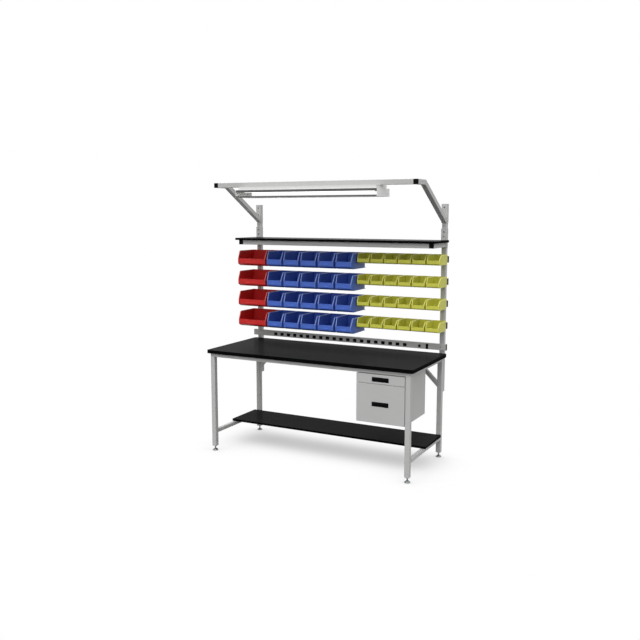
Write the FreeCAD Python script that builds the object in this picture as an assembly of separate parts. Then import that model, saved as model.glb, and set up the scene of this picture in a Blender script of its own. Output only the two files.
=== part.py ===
import FreeCAD, Part
import math
import os

# Anti-static workbench: a steel tube frame with a worktop and a rear lower shelf, two uprights behind it
# that carry four bin rails, a power rail, an upper shelf and a lamp, and a drawer unit under the top.
# Millimetres. +X is the user's right, +Y points to the back, +Z is up, and the floor is at Z = 0.

# Worktop and shelves
worktop_width = 1800.0
worktop_depth = 750.0
worktop_top = 850.0
worktop_thickness = 28.0
worktop_corner_radius = 20.0
board_edge_radius = 2.0
shelf_thickness = 18.0
shelf_corner_radius = 8.0
lower_shelf_end_overhang = 11.0
lower_shelf_depth = 365.0
lower_shelf_leg_gap = 15.0
upper_shelf_overhang = 22.0

# Square steel tube: the large size for legs, uprights and arms, the small one for rails and braces
tube_size = 38.0
tube_wall = 2.0
tube_corner = 3.0
rail_size = 30.0
rail_wall = 2.0
rail_corner = 2.5
leg_side_inset = 27.0
leg_front_inset = 20.0
rail_setback = 4.0
low_rail_top = 176.0
brace_foot = 578.0
brace_angle = 45.0

# Levelling feet
foot_height = 40.0
foot_plate_thickness = 6.0
foot_pad_radius = 22.0
foot_pad_height = 7.0
foot_pad_bevel = 2.0
foot_neck_radius = 9.0
foot_neck_height = 18.0
foot_collar_height = 9.0
foot_collar_flats = 17.0
foot_stud_radius = 5.0
foot_stud_inside = 45.0
stud_clearance = 0.3

# Uprights and the rails across them
upright_bottom = 538.0
upright_above_shelf_bracket = 192.0
cross_rail_depth = 25.0
cross_rail_height = 50.0
cross_rail_wall = 2.0
cross_rail_cap = 3.0
cap_plug_length = 8.0
cap_fit = 0.2
power_rail_rise = 52.0
cross_rail_pitch = 174.5
bin_rail_count = 4
bin_rail_front_drop = 5.0
power_rail_groove_depth = 0.8
power_rail_groove_height = 3.0
power_rail_groove_offset = 19.0

# Electrical pieces in the power rail, with places measured from its ends
outlet_pitch = 64.3
outlet_left_margin = 228.0
outlet_earth_gap = 126.0
outlet_width = 32.0
outlet_height = 26.0
electrics_drop = 3.0
outlet_flange = 2.0
outlet_flange_proud = 1.2
outlet_body_depth = 16.0
outlet_slot_width = 3.0
outlet_slot_height = 6.0
outlet_slot_depth = 10.0
outlet_slot_spread = 7.0
insert_clearance = 0.2
earth_right_margin = 224.0
earth_boss_radius = 11.0
earth_boss_proud = 4.0
earth_boss_shank_radius = 7.0
earth_stud_radius = 5.0
earth_stud_proud = 5.0
switch_right_margin = 160.0
switch_width = 20.0
switch_height = 40.0
switch_bezel = 2.5
switch_bezel_proud = 1.5
switch_depth = 17.0
switch_wall = 1.5
rocker_clearance = 0.5
rocker_swing_room = 1.6
rocker_tilt = 8.0
rocker_pivot_depth = 6.0
rocker_crest = 2.5
rocker_back_depth = 10.0
rocker_back_taper = 3.0
rocker_pin_radius = 1.2
rocker_pin_reach = 1.0
rocker_pin_clearance = 0.3

# Brackets and arms on the uprights
bracket_plate = 4.0
bracket_clearance = 0.3
bracket_height = 148.0
bracket_flange_depth = 32.0
shelf_bracket_rise = 90.0
shelf_arm_rise = 4.0
shelf_arm_front = 462.0
arm_cap_thickness = 4.0
light_arm_front = 112.0
light_arm_rise = 168.0
light_arm_bend = 262.0

# Bolts and screws
bolt_head_radius = 7.0
bolt_head_height = 5.0
bolt_head_round = 3.0
bolt_shank_radius = 4.0
bolt_grip = 6.0
light_bolt_drop = 25.0
light_bolt_spacing = 60.0
shelf_bolt_drop = 23.0
shelf_bolt_spacing = 37.0
screw_head_radius = 5.0
screw_head_height = 2.5
screw_head_round = 1.5
screw_shank_radius = 2.5
screw_grip = 6.0
bolt_hole_clearance = 0.2

# Lamp under the light rail
lamp_length = 1200.0
lamp_depth = 230.0
lamp_tray_end_inset = 15.0
lamp_tray_side_inset = 18.0
lamp_tray_height = 25.0
lamp_sheet = 2.0
lamp_flange_height = 18.0
lamp_body_height = 57.0
lamp_bottom_rail_height = 11.0
lamp_bottom_rail_depth = 10.0
lamp_ledge_depth = 6.0
lamp_diffuser_thickness = 3.0
lamp_tube_radius = 8.0
lamp_tube_wall = 1.0
lamp_tube_spacing = 104.0
lamp_tube_drop = 10.0
lamp_holder_length = 22.0
lamp_holder_width = 20.0
lamp_holder_inset = 14.0
lamp_holder_height = 20.0
lamp_holder_socket = 6.0
lamp_fit = 0.3

# Drawer unit hung under the right of the worktop
cabinet_width = 385.0
cabinet_leg_gap = 4.0
cabinet_height = 366.0
cabinet_rail_gap = 5.0
cabinet_back = 450.0
cabinet_sheet = 1.5
hanger_width = 30.0
hanger_wall = 2.0
hanger_inset = 40.0
hanger_end_gap = 25.0
drawer_front_thickness = 18.0
drawer_front_sheet = 1.5
drawer_front_radius = 2.0
drawer_front_gap = 3.0
drawer_front_clearance = 0.5
upper_front_height = 70.0
drawer_sheet = 1.5
drawer_back_gap = 12.0
drawer_floor_gap = 8.0
drawer_top_gap = 10.0
lower_box_height = 210.0
runner_back_gap = 18.0
runner_height = 35.0
runner_sheet = 1.5
runner_space = 12.7
runner_gap = 0.4
runner_flange = 4.5
pull_width = 134.0
pull_height = 34.0
pull_upper_drop = 20.0
pull_lower_drop = 133.0
pull_flange = 3.0
pull_flange_proud = 2.0
pull_wall = 2.0
pull_depth = 15.0
pull_lip_height = 10.0
pull_fit = 0.2

# Bins: three sizes that hang by a hook on the rails, with depths measured from their backs
bin_gap = 4.0
bin_top_rise = 40.0
bin_wall = 2.5
bin_rim_out = 2.0
bin_rim_in = 2.5
bin_rim_band = 7.0
bin_lip_set_back = 2.0
bin_corner = 6.0
bin_clearance = 0.3
bin_hook_thickness = 2.5
bin_hook_drop = 12.0
bin_hook_inset = 14.0
large_bin_height = 127.0
large_bin_base = 215.0
large_bin_bevel = 16.0
large_bin_reach = 252.0
large_bin_shoulder = 190.0
large_bin_top = 221.0
large_bin_lip = 61.0
large_bin_foot = 16.0
large_bin_foot_thickness = 3.0
red_bin_width = 282.0
red_bin_front_inset = 6.0
blue_bin_width = 158.0
blue_bin_front_inset = 10.0
blue_bin_count = 5
yellow_bin_width = 113.5
yellow_bin_front_inset = 5.0
yellow_bin_height = 80.0
yellow_bin_base = 150.0
yellow_bin_bevel = 9.0
yellow_bin_reach = 180.0
yellow_bin_shoulder = 150.0
yellow_bin_top = 152.0
yellow_bin_lip = 39.0

# Places that follow from the sizes
front_y = -(worktop_depth + tube_size) / 2
back_edge_y = front_y + worktop_depth
upright_back_y = back_edge_y + tube_size
worktop_bottom = worktop_top - worktop_thickness
leg_outer_x = worktop_width / 2 - leg_side_inset
leg_inner_x = leg_outer_x - tube_size
leg_centre_x = leg_outer_x - tube_size / 2
leg_front_y = front_y + leg_front_inset
front_leg_y = (leg_front_y, leg_front_y + tube_size)
back_leg_y = (back_edge_y - tube_size, back_edge_y)
rail_front_y = back_edge_y - cross_rail_depth
bracket_front_y = back_edge_y - bracket_plate
power_rail_centre = worktop_top + power_rail_rise
top_rail_centre = power_rail_centre + bin_rail_count * cross_rail_pitch
shelf_bracket_bottom = top_rail_centre + shelf_bracket_rise
shelf_bracket_z = (shelf_bracket_bottom, shelf_bracket_bottom + bracket_height)
upright_top = shelf_bracket_z[1] + upright_above_shelf_bracket
sides = (("left", -1), ("right", 1))

nodes = {}


def vec(x, y, z):
    return FreeCAD.Vector(x, y, z)


def block(x, y, z):
    """A box between a low and a high value along each axis."""
    return Part.makeBox(x[1] - x[0], y[1] - y[0], z[1] - z[0], vec(x[0], y[0], z[0]))


def span(centre, size):
    """The low and high value of a size about its centre."""
    return (centre - size / 2, centre + size / 2)


def mirrored(low, high, side):
    """A range measured outwards from the middle, on the left (-1) or the right (1)."""
    return (low, high) if side > 0 else (-high, -low)


def shrunk(limits, margin):
    """A range made smaller by a margin at both ends."""
    return (limits[0] + margin, limits[1] - margin)


def edges_along(shape, axis):
    """The straight edges of a shape that run along an axis."""
    found = []
    for edge in shape.Edges:
        start = edge.Vertexes[0].Point
        end = edge.Vertexes[-1].Point
        run = end.sub(start)
        if run.Length > 0 and abs(abs(run.dot(axis)) - run.Length) < 1e-6:
            found.append(edge)
    return found


def tube(x, y, z, axis, wall, corner):
    """A hollow tube with rounded long edges, open at both ends along its axis."""
    outer = block(x, y, z)
    outer = outer.makeFillet(corner, edges_along(outer, axis))
    ranges = []
    for limits, along in zip((x, y, z), (axis.x, axis.y, axis.z)):
        ranges.append(limits if abs(along) > 0.5 else shrunk(limits, wall))
    return outer.cut(block(*ranges))


def prism(points, x):
    """A side outline, given as (y, z) points, carried across a range of X."""
    corners = [vec(x[0], y, z) for y, z in points]
    outline = Part.makePolygon(corners + corners[:1])
    return Part.Face(outline).extrude(vec(x[1] - x[0], 0, 0))


def rod(radius, start, direction, length):
    return Part.makeCylinder(radius, length, start, direction)


def group(shapes):
    return Part.makeCompound(shapes)


along_x = vec(1, 0, 0)
along_y = vec(0, 1, 0)
along_z = vec(0, 0, 1)
forward = vec(0, -1, 0)


def board(x, y, z, corner_radius):
    """A board with rounded corners in plan and softened top and bottom edges."""
    plain = block(x, y, z)
    plain = plain.makeFillet(corner_radius, edges_along(plain, along_z))
    rims = []
    for edge in plain.Edges:
        ends = [vertex.Point.z for vertex in edge.Vertexes]
        if max(ends) - min(ends) < 1e-6:
            rims.append(edge)
    return plain.makeFillet(board_edge_radius, rims)


# Legs: square tube, closed at the foot by a welded plate with the hole for the foot's stud
def leg(side, y):
    x = mirrored(leg_inner_x, leg_outer_x, side)
    z = (foot_height, worktop_bottom)
    body = tube(x, y, z, along_z, tube_wall, tube_corner)
    plate_z = (foot_height, foot_height + foot_plate_thickness)
    plate = block(shrunk(x, tube_wall), shrunk(y, tube_wall), plate_z)
    centre = vec(sum(x) / 2, sum(y) / 2, foot_height)
    hole = rod(foot_stud_radius + stud_clearance, centre, along_z, foot_plate_thickness)
    return body.fuse(plate.cut(hole)).removeSplitter()


def foot(side, y):
    """A turned pad, its neck and threaded stud, and the hex collar that seats under the leg."""
    centre_y = sum(y) / 2
    centre_x = side * leg_centre_x
    outline = [
        vec(0, 0, 0),
        vec(foot_pad_radius - foot_pad_bevel, 0, 0),
        vec(foot_pad_radius, 0, foot_pad_bevel),
        vec(foot_pad_radius, 0, foot_pad_height),
        vec(foot_neck_radius, 0, foot_neck_height),
        vec(foot_stud_radius, 0, foot_neck_height),
        vec(foot_stud_radius, 0, foot_height + foot_stud_inside),
        vec(0, 0, foot_height + foot_stud_inside),
    ]
    turned = Part.Face(Part.makePolygon(outline + outline[:1])).revolve(vec(0, 0, 0), along_z, 360)
    corner_radius = foot_collar_flats / 2 / math.cos(math.pi / 6)
    hexagon = [
        vec(corner_radius * math.cos(k * math.pi / 3), corner_radius * math.sin(k * math.pi / 3),
            foot_height - foot_collar_height)
        for k in range(6)
    ]
    collar = Part.Face(Part.makePolygon(hexagon + hexagon[:1])).extrude(vec(0, 0, foot_collar_height))
    shape = turned.fuse(collar).removeSplitter()
    shape.translate(vec(centre_x, centre_y, 0))
    return shape


for side_name, side in sides:
    for place, leg_y in (("front", front_leg_y), ("back", back_leg_y)):
        nodes[f"leg_{place}_{side_name}"] = leg(side, leg_y)
        nodes[f"foot_{place}_{side_name}"] = foot(side, leg_y)

# Rails between the legs: two long ones and a top and a low one at each end
rail_top_z = (worktop_bottom - rail_size, worktop_bottom)
long_rail_x = (-leg_inner_x, leg_inner_x)
front_rail_y = (leg_front_y + rail_setback, leg_front_y + rail_setback + rail_size)
back_rail_y = (back_edge_y - rail_setback - rail_size, back_edge_y - rail_setback)
long_rails = [
    tube(long_rail_x, rail_y, rail_top_z, along_x, rail_wall, rail_corner)
    for rail_y in (front_rail_y, back_rail_y)
]
nodes["long_rails"] = group(long_rails)
side_rail_y = (front_leg_y[1], back_leg_y[0])


def side_rail(side, z):
    x = mirrored(leg_outer_x - rail_size, leg_outer_x, side)
    return tube(x, side_rail_y, z, along_y, rail_wall, rail_corner)


nodes["top_side_rails"] = group([side_rail(side, rail_top_z) for name, side in sides])
low_rail_z = (low_rail_top - rail_size, low_rail_top)
nodes["low_side_rails"] = group([side_rail(side, low_rail_z) for name, side in sides])


# Knee braces: tube from the back leg up to the back rail, cut to fit both
def knee_brace(side):
    slope = math.tan(math.radians(brace_angle))
    rise = rail_size / math.cos(math.radians(brace_angle))

    def outline(inset, lengthen):
        bottom = brace_foot + inset / math.cos(math.radians(brace_angle))
        top = brace_foot + rise - inset / math.cos(math.radians(brace_angle))
        start_x = leg_inner_x + lengthen
        end_z = rail_top_z[0] + lengthen
        return [
            (start_x, bottom - lengthen * slope),
            (start_x, top - lengthen * slope),
            (leg_inner_x - (end_z - top) / slope, end_z),
            (leg_inner_x - (end_z - bottom) / slope, end_z),
        ]

    def bar(points, y):
        corners = [vec(side * x, y[0], z) for x, z in points]
        return Part.Face(Part.makePolygon(corners + corners[:1])).extrude(vec(0, y[1] - y[0], 0))

    hollow = bar(outline(rail_wall, rail_wall), shrunk(back_rail_y, rail_wall))
    return bar(outline(0, 0), back_rail_y).cut(hollow)


nodes["knee_braces"] = group([knee_brace(side) for name, side in sides])

# Worktop and lower shelf
nodes["worktop"] = board(
    span(0, worktop_width), (front_y, back_edge_y), (worktop_bottom, worktop_top), worktop_corner_radius
)
lower_shelf_back = back_leg_y[0] - lower_shelf_leg_gap
nodes["lower_shelf"] = board(
    span(0, 2 * (leg_outer_x + lower_shelf_end_overhang)),
    (lower_shelf_back - lower_shelf_depth, lower_shelf_back),
    (low_rail_top, low_rail_top + shelf_thickness),
    shelf_corner_radius,
)

# Uprights behind the back legs
upright_y = (back_edge_y, upright_back_y)
uprights = [
    tube(mirrored(leg_inner_x, leg_outer_x, side), upright_y, (upright_bottom, upright_top), along_z,
         tube_wall, tube_corner)
    for name, side in sides
]
nodes["uprights"] = group(uprights)


# Rails across the uprights: the lowest is a closed box for power, the others are open-topped for bin hooks
def cross_rail_z(index):
    return span(power_rail_centre + index * cross_rail_pitch, cross_rail_height)


cross_rail_x = shrunk(span(0, worktop_width), cross_rail_cap)
cross_rail_y = (rail_front_y, back_edge_y)


def bin_rail(index):
    """Three strips, welded along their edges: a front one for the hooks, a floor, and a back one that lies
    on the uprights and stands higher."""
    z = cross_rail_z(index)
    trough_y = shrunk(cross_rail_y, cross_rail_wall)
    front = block(cross_rail_x, (cross_rail_y[0], trough_y[0]), (z[0], z[1] - bin_rail_front_drop))
    floor = block(cross_rail_x, trough_y, (z[0], z[0] + cross_rail_wall))
    back = block(cross_rail_x, (trough_y[1], cross_rail_y[1]), z)
    return [front, floor, back]


bin_rail_indices = range(1, bin_rail_count + 1)
nodes["bin_rails"] = group([strip for index in bin_rail_indices for strip in bin_rail(index)])


def cross_rail_end_cap(side, index):
    """A black end cap with a plug that enters the open end of a cross rail."""
    z = cross_rail_z(index)
    end_x = cross_rail_x[1]
    plate = block(mirrored(end_x, end_x + cross_rail_cap, side), cross_rail_y, z)
    plug_y = shrunk(cross_rail_y, cross_rail_wall + cap_fit)
    plug_z = shrunk(z, cross_rail_wall + cap_fit)
    plug = block(mirrored(end_x - cap_plug_length, end_x, side), plug_y, plug_z)
    return plate.fuse(plug).removeSplitter()


nodes["cross_rail_caps"] = group(
    [cross_rail_end_cap(side, index) for index in range(bin_rail_count + 1) for name, side in sides]
)

power_rail_z = cross_rail_z(0)
electrics_z = power_rail_centre - electrics_drop
earth_stud_x = worktop_width / 2 - earth_right_margin
switch_x = worktop_width / 2 - switch_right_margin
outlet_first_x = outlet_left_margin - worktop_width / 2
outlet_room = earth_stud_x - outlet_earth_gap - outlet_first_x
outlet_xs = [outlet_first_x + k * outlet_pitch for k in range(int(outlet_room / outlet_pitch) + 1)]
outlet_hole_width = outlet_width - 2 * outlet_flange
outlet_hole_height = outlet_height - 2 * outlet_flange
switch_hole_width = switch_width - 2 * switch_bezel
switch_hole_height = switch_height - 2 * switch_bezel


def power_rail():
    shape = tube(cross_rail_x, cross_rail_y, power_rail_z, along_x, cross_rail_wall, power_rail_groove_depth)
    front_wall = (rail_front_y, rail_front_y + cross_rail_wall)
    outlet_hole_z = span(electrics_z, outlet_hole_height)
    switch_hole_z = span(electrics_z, switch_hole_height)
    for x in outlet_xs:
        shape = shape.cut(block(span(x, outlet_hole_width), front_wall, outlet_hole_z))
    shape = shape.cut(block(span(switch_x, switch_hole_width), front_wall, switch_hole_z))
    stud_hole_start = vec(earth_stud_x, rail_front_y, electrics_z)
    shape = shape.cut(rod(earth_boss_shank_radius, stud_hole_start, along_y, cross_rail_wall))
    for offset in (-power_rail_groove_offset, power_rail_groove_offset):
        groove_z = span(power_rail_centre + offset, power_rail_groove_height)
        groove = block(cross_rail_x, (rail_front_y, rail_front_y + power_rail_groove_depth), groove_z)
        shape = shape.cut(groove)
    return shape


nodes["power_rail"] = power_rail()


def outlet(x):
    """A black appliance outlet: a flange on the rail's face, a body behind it and three contact slots."""
    flange_y = (rail_front_y - outlet_flange_proud, rail_front_y)
    flange = block(span(x, outlet_width), flange_y, span(electrics_z, outlet_height))
    body_width = outlet_hole_width - 2 * insert_clearance
    body_height = outlet_hole_height - 2 * insert_clearance
    body_y = (rail_front_y, rail_front_y + outlet_body_depth)
    body = block(span(x, body_width), body_y, span(electrics_z, body_height))
    shape = flange.fuse(body).removeSplitter()
    slot_y = (flange_y[0], flange_y[0] + outlet_slot_depth)
    for shift_x, shift_z in ((-outlet_slot_spread, -1), (0, 1), (outlet_slot_spread, -1)):
        slot_z = electrics_z + shift_z * outlet_slot_height / 2
        slot = block(span(x + shift_x, outlet_slot_width), slot_y, span(slot_z, outlet_slot_height))
        shape = shape.cut(slot)
    return shape


nodes["power_outlets"] = group([outlet(x) for x in outlet_xs])


# Earth point for the wrist strap: an insulating boss with a press stud
def earth_point():
    face = vec(earth_stud_x, rail_front_y, electrics_z)
    boss = rod(earth_boss_radius, face, forward, earth_boss_proud)
    shank = rod(earth_boss_shank_radius - insert_clearance, face, along_y, outlet_body_depth)
    stud_base = vec(earth_stud_x, rail_front_y - earth_boss_proud, electrics_z)
    stud = rod(earth_stud_radius, stud_base, forward, earth_stud_proud)
    return boss.fuse([shank, stud]).removeSplitter()


nodes["earth_stud"] = earth_point()

# Mains switch: a bezel and box, and the rocker that tips in it about a pin along X
switch_bezel_y = rail_front_y - switch_bezel_proud
switch_box_width = switch_hole_width - 2 * insert_clearance
switch_box_height = switch_hole_height - 2 * insert_clearance
switch_well_width = switch_box_width - 2 * switch_wall
switch_well_height = switch_box_height - 2 * switch_wall
rocker_width = switch_well_width - 2 * rocker_clearance
rocker_half_height = switch_well_height / 2 - rocker_swing_room
rocker_pivot_y = rail_front_y + rocker_pivot_depth


def rocker_pin(radius, reach):
    length = switch_well_width + 2 * reach
    return rod(radius, vec(switch_x - length / 2, rocker_pivot_y, electrics_z), along_x, length)


def switch_housing():
    bezel_y = (switch_bezel_y, rail_front_y)
    bezel = block(span(switch_x, switch_width), bezel_y, span(electrics_z, switch_height))
    box_y = (rail_front_y, rail_front_y + switch_depth)
    box = block(span(switch_x, switch_box_width), box_y, span(electrics_z, switch_box_height))
    well_y = (switch_bezel_y, box_y[1] - switch_wall)
    well = block(span(switch_x, switch_well_width), well_y, span(electrics_z, switch_well_height))
    pin_hole = rocker_pin(rocker_pin_radius + rocker_pin_clearance, rocker_pin_reach + rocker_pin_clearance)
    return bezel.fuse(box).cut(well).cut(pin_hole).removeSplitter()


def switch_rocker():
    """A shallow V in side view on its pin, stored tipped to one side."""
    face_y = switch_bezel_y - rocker_crest
    back_y = rail_front_y + rocker_back_depth
    hollow = rocker_half_height * math.tan(math.radians(rocker_tilt))
    back_half = rocker_half_height - rocker_back_taper
    outline = [
        (face_y + hollow, electrics_z),
        (face_y, electrics_z + rocker_half_height),
        (back_y - hollow, electrics_z + back_half),
        (back_y, electrics_z),
        (back_y - hollow, electrics_z - back_half),
        (face_y, electrics_z - rocker_half_height),
    ]
    shape = prism(outline, span(switch_x, rocker_width))
    shape = shape.fuse(rocker_pin(rocker_pin_radius, rocker_pin_reach)).removeSplitter()
    shape.rotate(vec(switch_x, rocker_pivot_y, electrics_z), along_x, rocker_tilt)
    return shape


nodes["switch_housing"] = switch_housing()
nodes["switch_rocker"] = switch_rocker()


# U-shaped brackets that straddle the uprights and are bolted through their webs
def bracket(side, z):
    inner = mirrored(leg_inner_x - bracket_clearance, leg_outer_x + bracket_clearance, side)
    outer = (inner[0] - bracket_plate, inner[1] + bracket_plate)
    channel = block(outer, (bracket_front_y, back_edge_y + bracket_flange_depth), z)
    return channel.cut(block(inner, (back_edge_y, back_edge_y + bracket_flange_depth), z))


arm_inner_x = leg_inner_x
arm_outer_x = leg_outer_x

# Upper shelf: two bracket arms, a rail between their front ends, and the board on top
shelf_arm_z = (shelf_bracket_z[0] + shelf_arm_rise, shelf_bracket_z[0] + shelf_arm_rise + tube_size)
shelf_arm_y = (front_y + shelf_arm_front + arm_cap_thickness, bracket_front_y)


def shelf_bracket(side):
    x = mirrored(arm_inner_x, arm_outer_x, side)
    arm = tube(x, shelf_arm_y, shelf_arm_z, along_y, tube_wall, tube_corner)
    return bracket(side, shelf_bracket_z).fuse(arm).removeSplitter()


nodes["shelf_brackets"] = group([shelf_bracket(side) for name, side in sides])
cross_x = (-arm_inner_x, arm_inner_x)
shelf_rail_y = (shelf_arm_y[0], shelf_arm_y[0] + tube_size)
nodes["shelf_cross_rail"] = tube(cross_x, shelf_rail_y, shelf_arm_z, along_x, tube_wall, tube_corner)
nodes["upper_shelf"] = board(
    span(0, worktop_width),
    (front_y + shelf_arm_front - upper_shelf_overhang, bracket_front_y),
    (shelf_arm_z[1], shelf_arm_z[1] + shelf_thickness),
    shelf_corner_radius,
)

# Light arms: a level run at the front, then a mitred slope back down to the bracket
light_bracket_z = (upright_top - bracket_height, upright_top)
light_arm_z = (upright_top + light_arm_rise - tube_size, upright_top + light_arm_rise)
light_arm_start = front_y + light_arm_front + arm_cap_thickness
light_arm_run = bracket_front_y - front_y - light_arm_bend
light_arm_slope = math.atan2(light_arm_z[0] - light_bracket_z[0], light_arm_run)


def light_arm_outline(inset, lengthen):
    """Side view of the bent arm, drawn smaller by a wall and longer at its open front end."""
    top = light_arm_z[1] - inset
    bottom = light_arm_z[0] + inset
    bend_shift = math.tan(light_arm_slope / 2)
    bend_bottom = front_y + light_arm_bend + inset * bend_shift
    bend_top = front_y + light_arm_bend + (tube_size - inset) * bend_shift
    end_bottom = bottom - (bracket_front_y - bend_bottom) * math.tan(light_arm_slope)
    end_top = top - (bracket_front_y - bend_top) * math.tan(light_arm_slope)
    start = light_arm_start - lengthen
    return [
        (start, bottom),
        (bend_bottom, bottom),
        (bracket_front_y, end_bottom),
        (bracket_front_y, end_top),
        (bend_top, top),
        (start, top),
    ]


def light_arm(side):
    x = mirrored(arm_inner_x, arm_outer_x, side)
    arm = prism(light_arm_outline(0, 0), x)
    long_edges = []
    for edge in arm.Edges:
        start, end = [vertex.Point for vertex in edge.Vertexes]
        if abs(start.x - end.x) < 1e-6 and abs(start.y - end.y) > tube_size:
            long_edges.append(edge)
    arm = arm.makeFillet(tube_corner, long_edges)
    hollow = prism(light_arm_outline(tube_wall, tube_wall), shrunk(x, tube_wall))
    return bracket(side, light_bracket_z).fuse(arm.cut(hollow)).removeSplitter()


nodes["light_arms"] = group([light_arm(side) for name, side in sides])
light_rail_y = (light_arm_start - arm_cap_thickness, light_arm_start - arm_cap_thickness + tube_size)
nodes["light_rail"] = tube(cross_x, light_rail_y, light_arm_z, along_x, tube_wall, tube_corner)


# Black square plugs in the open front ends of the arms
def front_cap(side, front, z):
    x = mirrored(arm_inner_x, arm_outer_x, side)
    plate = block(x, (front - arm_cap_thickness, front), z)
    plate = plate.makeFillet(tube_corner, edges_along(plate, along_y))
    fit = tube_wall + cap_fit
    plug = block(shrunk(x, fit), (front, front + cap_plug_length), shrunk(z, fit))
    return plate.fuse(plug).removeSplitter()


arm_ends = ((shelf_arm_y[0], shelf_arm_z), (light_arm_start, light_arm_z))
nodes["arm_end_caps"] = group([front_cap(side, front, z) for front, z in arm_ends for name, side in sides])


# Bolts through the brackets into the uprights, and screws through the cross rails
def dome_bolt(x, y, z, head, shank_radius, shank_length):
    """A round-headed bolt that points to the back, with its head on a face at y."""
    head_radius, head_height, head_round = head
    cap = rod(head_radius, vec(x, y, z), forward, head_height)
    front_rim = [edge for edge in cap.Edges if edge.BoundBox.YMax < y - head_height / 2]
    cap = cap.makeFillet(head_round, front_rim)
    return cap.fuse(rod(shank_radius, vec(x, y, z), along_y, shank_length)).removeSplitter()


bolt_head = (bolt_head_radius, bolt_head_height, bolt_head_round)
screw_head = (screw_head_radius, screw_head_height, screw_head_round)
bolt_length = bracket_plate + tube_wall + bolt_grip
light_bolt_top = light_bracket_z[1] - light_bolt_drop
shelf_bolt_top = shelf_bracket_z[1] - shelf_bolt_drop
bolt_heights = (
    light_bolt_top,
    light_bolt_top - light_bolt_spacing,
    shelf_bolt_top,
    shelf_bolt_top - shelf_bolt_spacing,
)
fastenings = [(bracket_front_y, z, bolt_head, bolt_shank_radius, bolt_length) for z in bolt_heights]
power_screw_length = cross_rail_depth + tube_wall + screw_grip
fastenings.append((rail_front_y, power_rail_centre, screw_head, screw_shank_radius, power_screw_length))
bin_screw_y = back_edge_y - cross_rail_wall
bin_screw_length = cross_rail_wall + tube_wall + screw_grip
for index in bin_rail_indices:
    rail_centre = sum(cross_rail_z(index)) / 2
    fastenings.append((bin_screw_y, rail_centre, screw_head, screw_shank_radius, bin_screw_length))

bolts = []
bolt_bores = []
for side_name, side in sides:
    bolt_x = side * leg_centre_x
    for face_y, z, head, shank_radius, length in fastenings:
        bolts.append(dome_bolt(bolt_x, face_y, z, head, shank_radius, length))
        bolt_bores.append(rod(shank_radius + bolt_hole_clearance, vec(bolt_x, face_y, z), along_y, length))
nodes["frame_bolts"] = group(bolts)
for bored in ("shelf_brackets", "light_arms", "uprights", "power_rail", "bin_rails"):
    drilled = [solid.cut(bolt_bores) for solid in nodes[bored].Solids]
    nodes[bored] = group(drilled) if len(drilled) > 1 else drilled[0]

# Lamp: a gear tray under the light rail, a reflector below it, end cheeks, bottom rails and a diffuser
lamp_centre_y = sum(light_rail_y) / 2
lamp_y = span(lamp_centre_y, lamp_depth)
lamp_tray_z = (light_arm_z[0] - lamp_tray_height, light_arm_z[0])
lamp_top = lamp_tray_z[0]
lamp_bottom = lamp_top - lamp_body_height
lamp_inner_x = shrunk(span(0, lamp_length), lamp_sheet)


def lamp_tray():
    tray_x = shrunk(span(0, lamp_length), lamp_tray_end_inset)
    tray_y = shrunk(lamp_y, lamp_tray_side_inset)
    shell = block(tray_x, tray_y, lamp_tray_z)
    shell = shell.makeFillet(lamp_sheet, edges_along(shell, along_z))
    hollow_z = (lamp_tray_z[0], lamp_tray_z[1] - lamp_sheet)
    return shell.cut(block(shrunk(tray_x, lamp_sheet), shrunk(tray_y, lamp_sheet), hollow_z))


def lamp_reflector():
    shell = block(lamp_inner_x, lamp_y, (lamp_top - lamp_flange_height, lamp_top))
    hollow_z = (lamp_top - lamp_flange_height, lamp_top - lamp_sheet)
    return shell.cut(block(lamp_inner_x, shrunk(lamp_y, lamp_sheet), hollow_z))


def lamp_cheek(side):
    x = mirrored(lamp_inner_x[1], lamp_length / 2, side)
    return block(x, lamp_y, (lamp_bottom, lamp_top))


def lamp_bottom_rail(front_rail):
    """An L-shaped rail: a face strip with a ledge that the diffuser lies on."""
    outer_y = lamp_y[0] if front_rail else lamp_y[1]
    inward = 1 if front_rail else -1
    face = sorted((outer_y, outer_y + inward * lamp_bottom_rail_depth))
    ledge = sorted((outer_y, outer_y + inward * (lamp_bottom_rail_depth + lamp_ledge_depth)))
    strip = block(lamp_inner_x, face, (lamp_bottom, lamp_bottom + lamp_bottom_rail_height))
    shelf = block(lamp_inner_x, ledge, (lamp_bottom, lamp_bottom + lamp_sheet))
    return strip.fuse(shelf).removeSplitter()


nodes["lamp_tray"] = lamp_tray()
nodes["lamp_reflector"] = lamp_reflector()
lamp_cheeks = [lamp_cheek(side) for name, side in sides]
lamp_bottom_rails = [lamp_bottom_rail(front_rail) for front_rail in (True, False)]
nodes["lamp_frame"] = group(lamp_cheeks + lamp_bottom_rails)
diffuser_y = shrunk(lamp_y, lamp_bottom_rail_depth + lamp_fit)
diffuser_z = (lamp_bottom + lamp_sheet, lamp_bottom + lamp_sheet + lamp_diffuser_thickness)
nodes["lamp_diffuser"] = block(shrunk(lamp_inner_x, lamp_fit), diffuser_y, diffuser_z)
lamp_holder_x = lamp_inner_x[1] - lamp_holder_inset
lamp_holder_top = lamp_top - lamp_sheet
lamp_tube_z = lamp_holder_top - lamp_tube_drop
lamp_tube_ys = span(lamp_centre_y, lamp_tube_spacing)
lamp_tube_half = lamp_holder_x - lamp_holder_length + lamp_holder_socket


def lamp_holder(side, y):
    """A tube socket under the reflector, with a round recess for the tube's end."""
    x = mirrored(lamp_holder_x - lamp_holder_length, lamp_holder_x, side)
    body = block(x, span(y, lamp_holder_width), (lamp_holder_top - lamp_holder_height, lamp_holder_top))
    recess_start = vec(side * (lamp_tube_half - lamp_holder_socket), y, lamp_tube_z)
    recess = rod(lamp_tube_radius + lamp_fit, recess_start, vec(side, 0, 0), lamp_holder_socket)
    return body.cut(recess)


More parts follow.
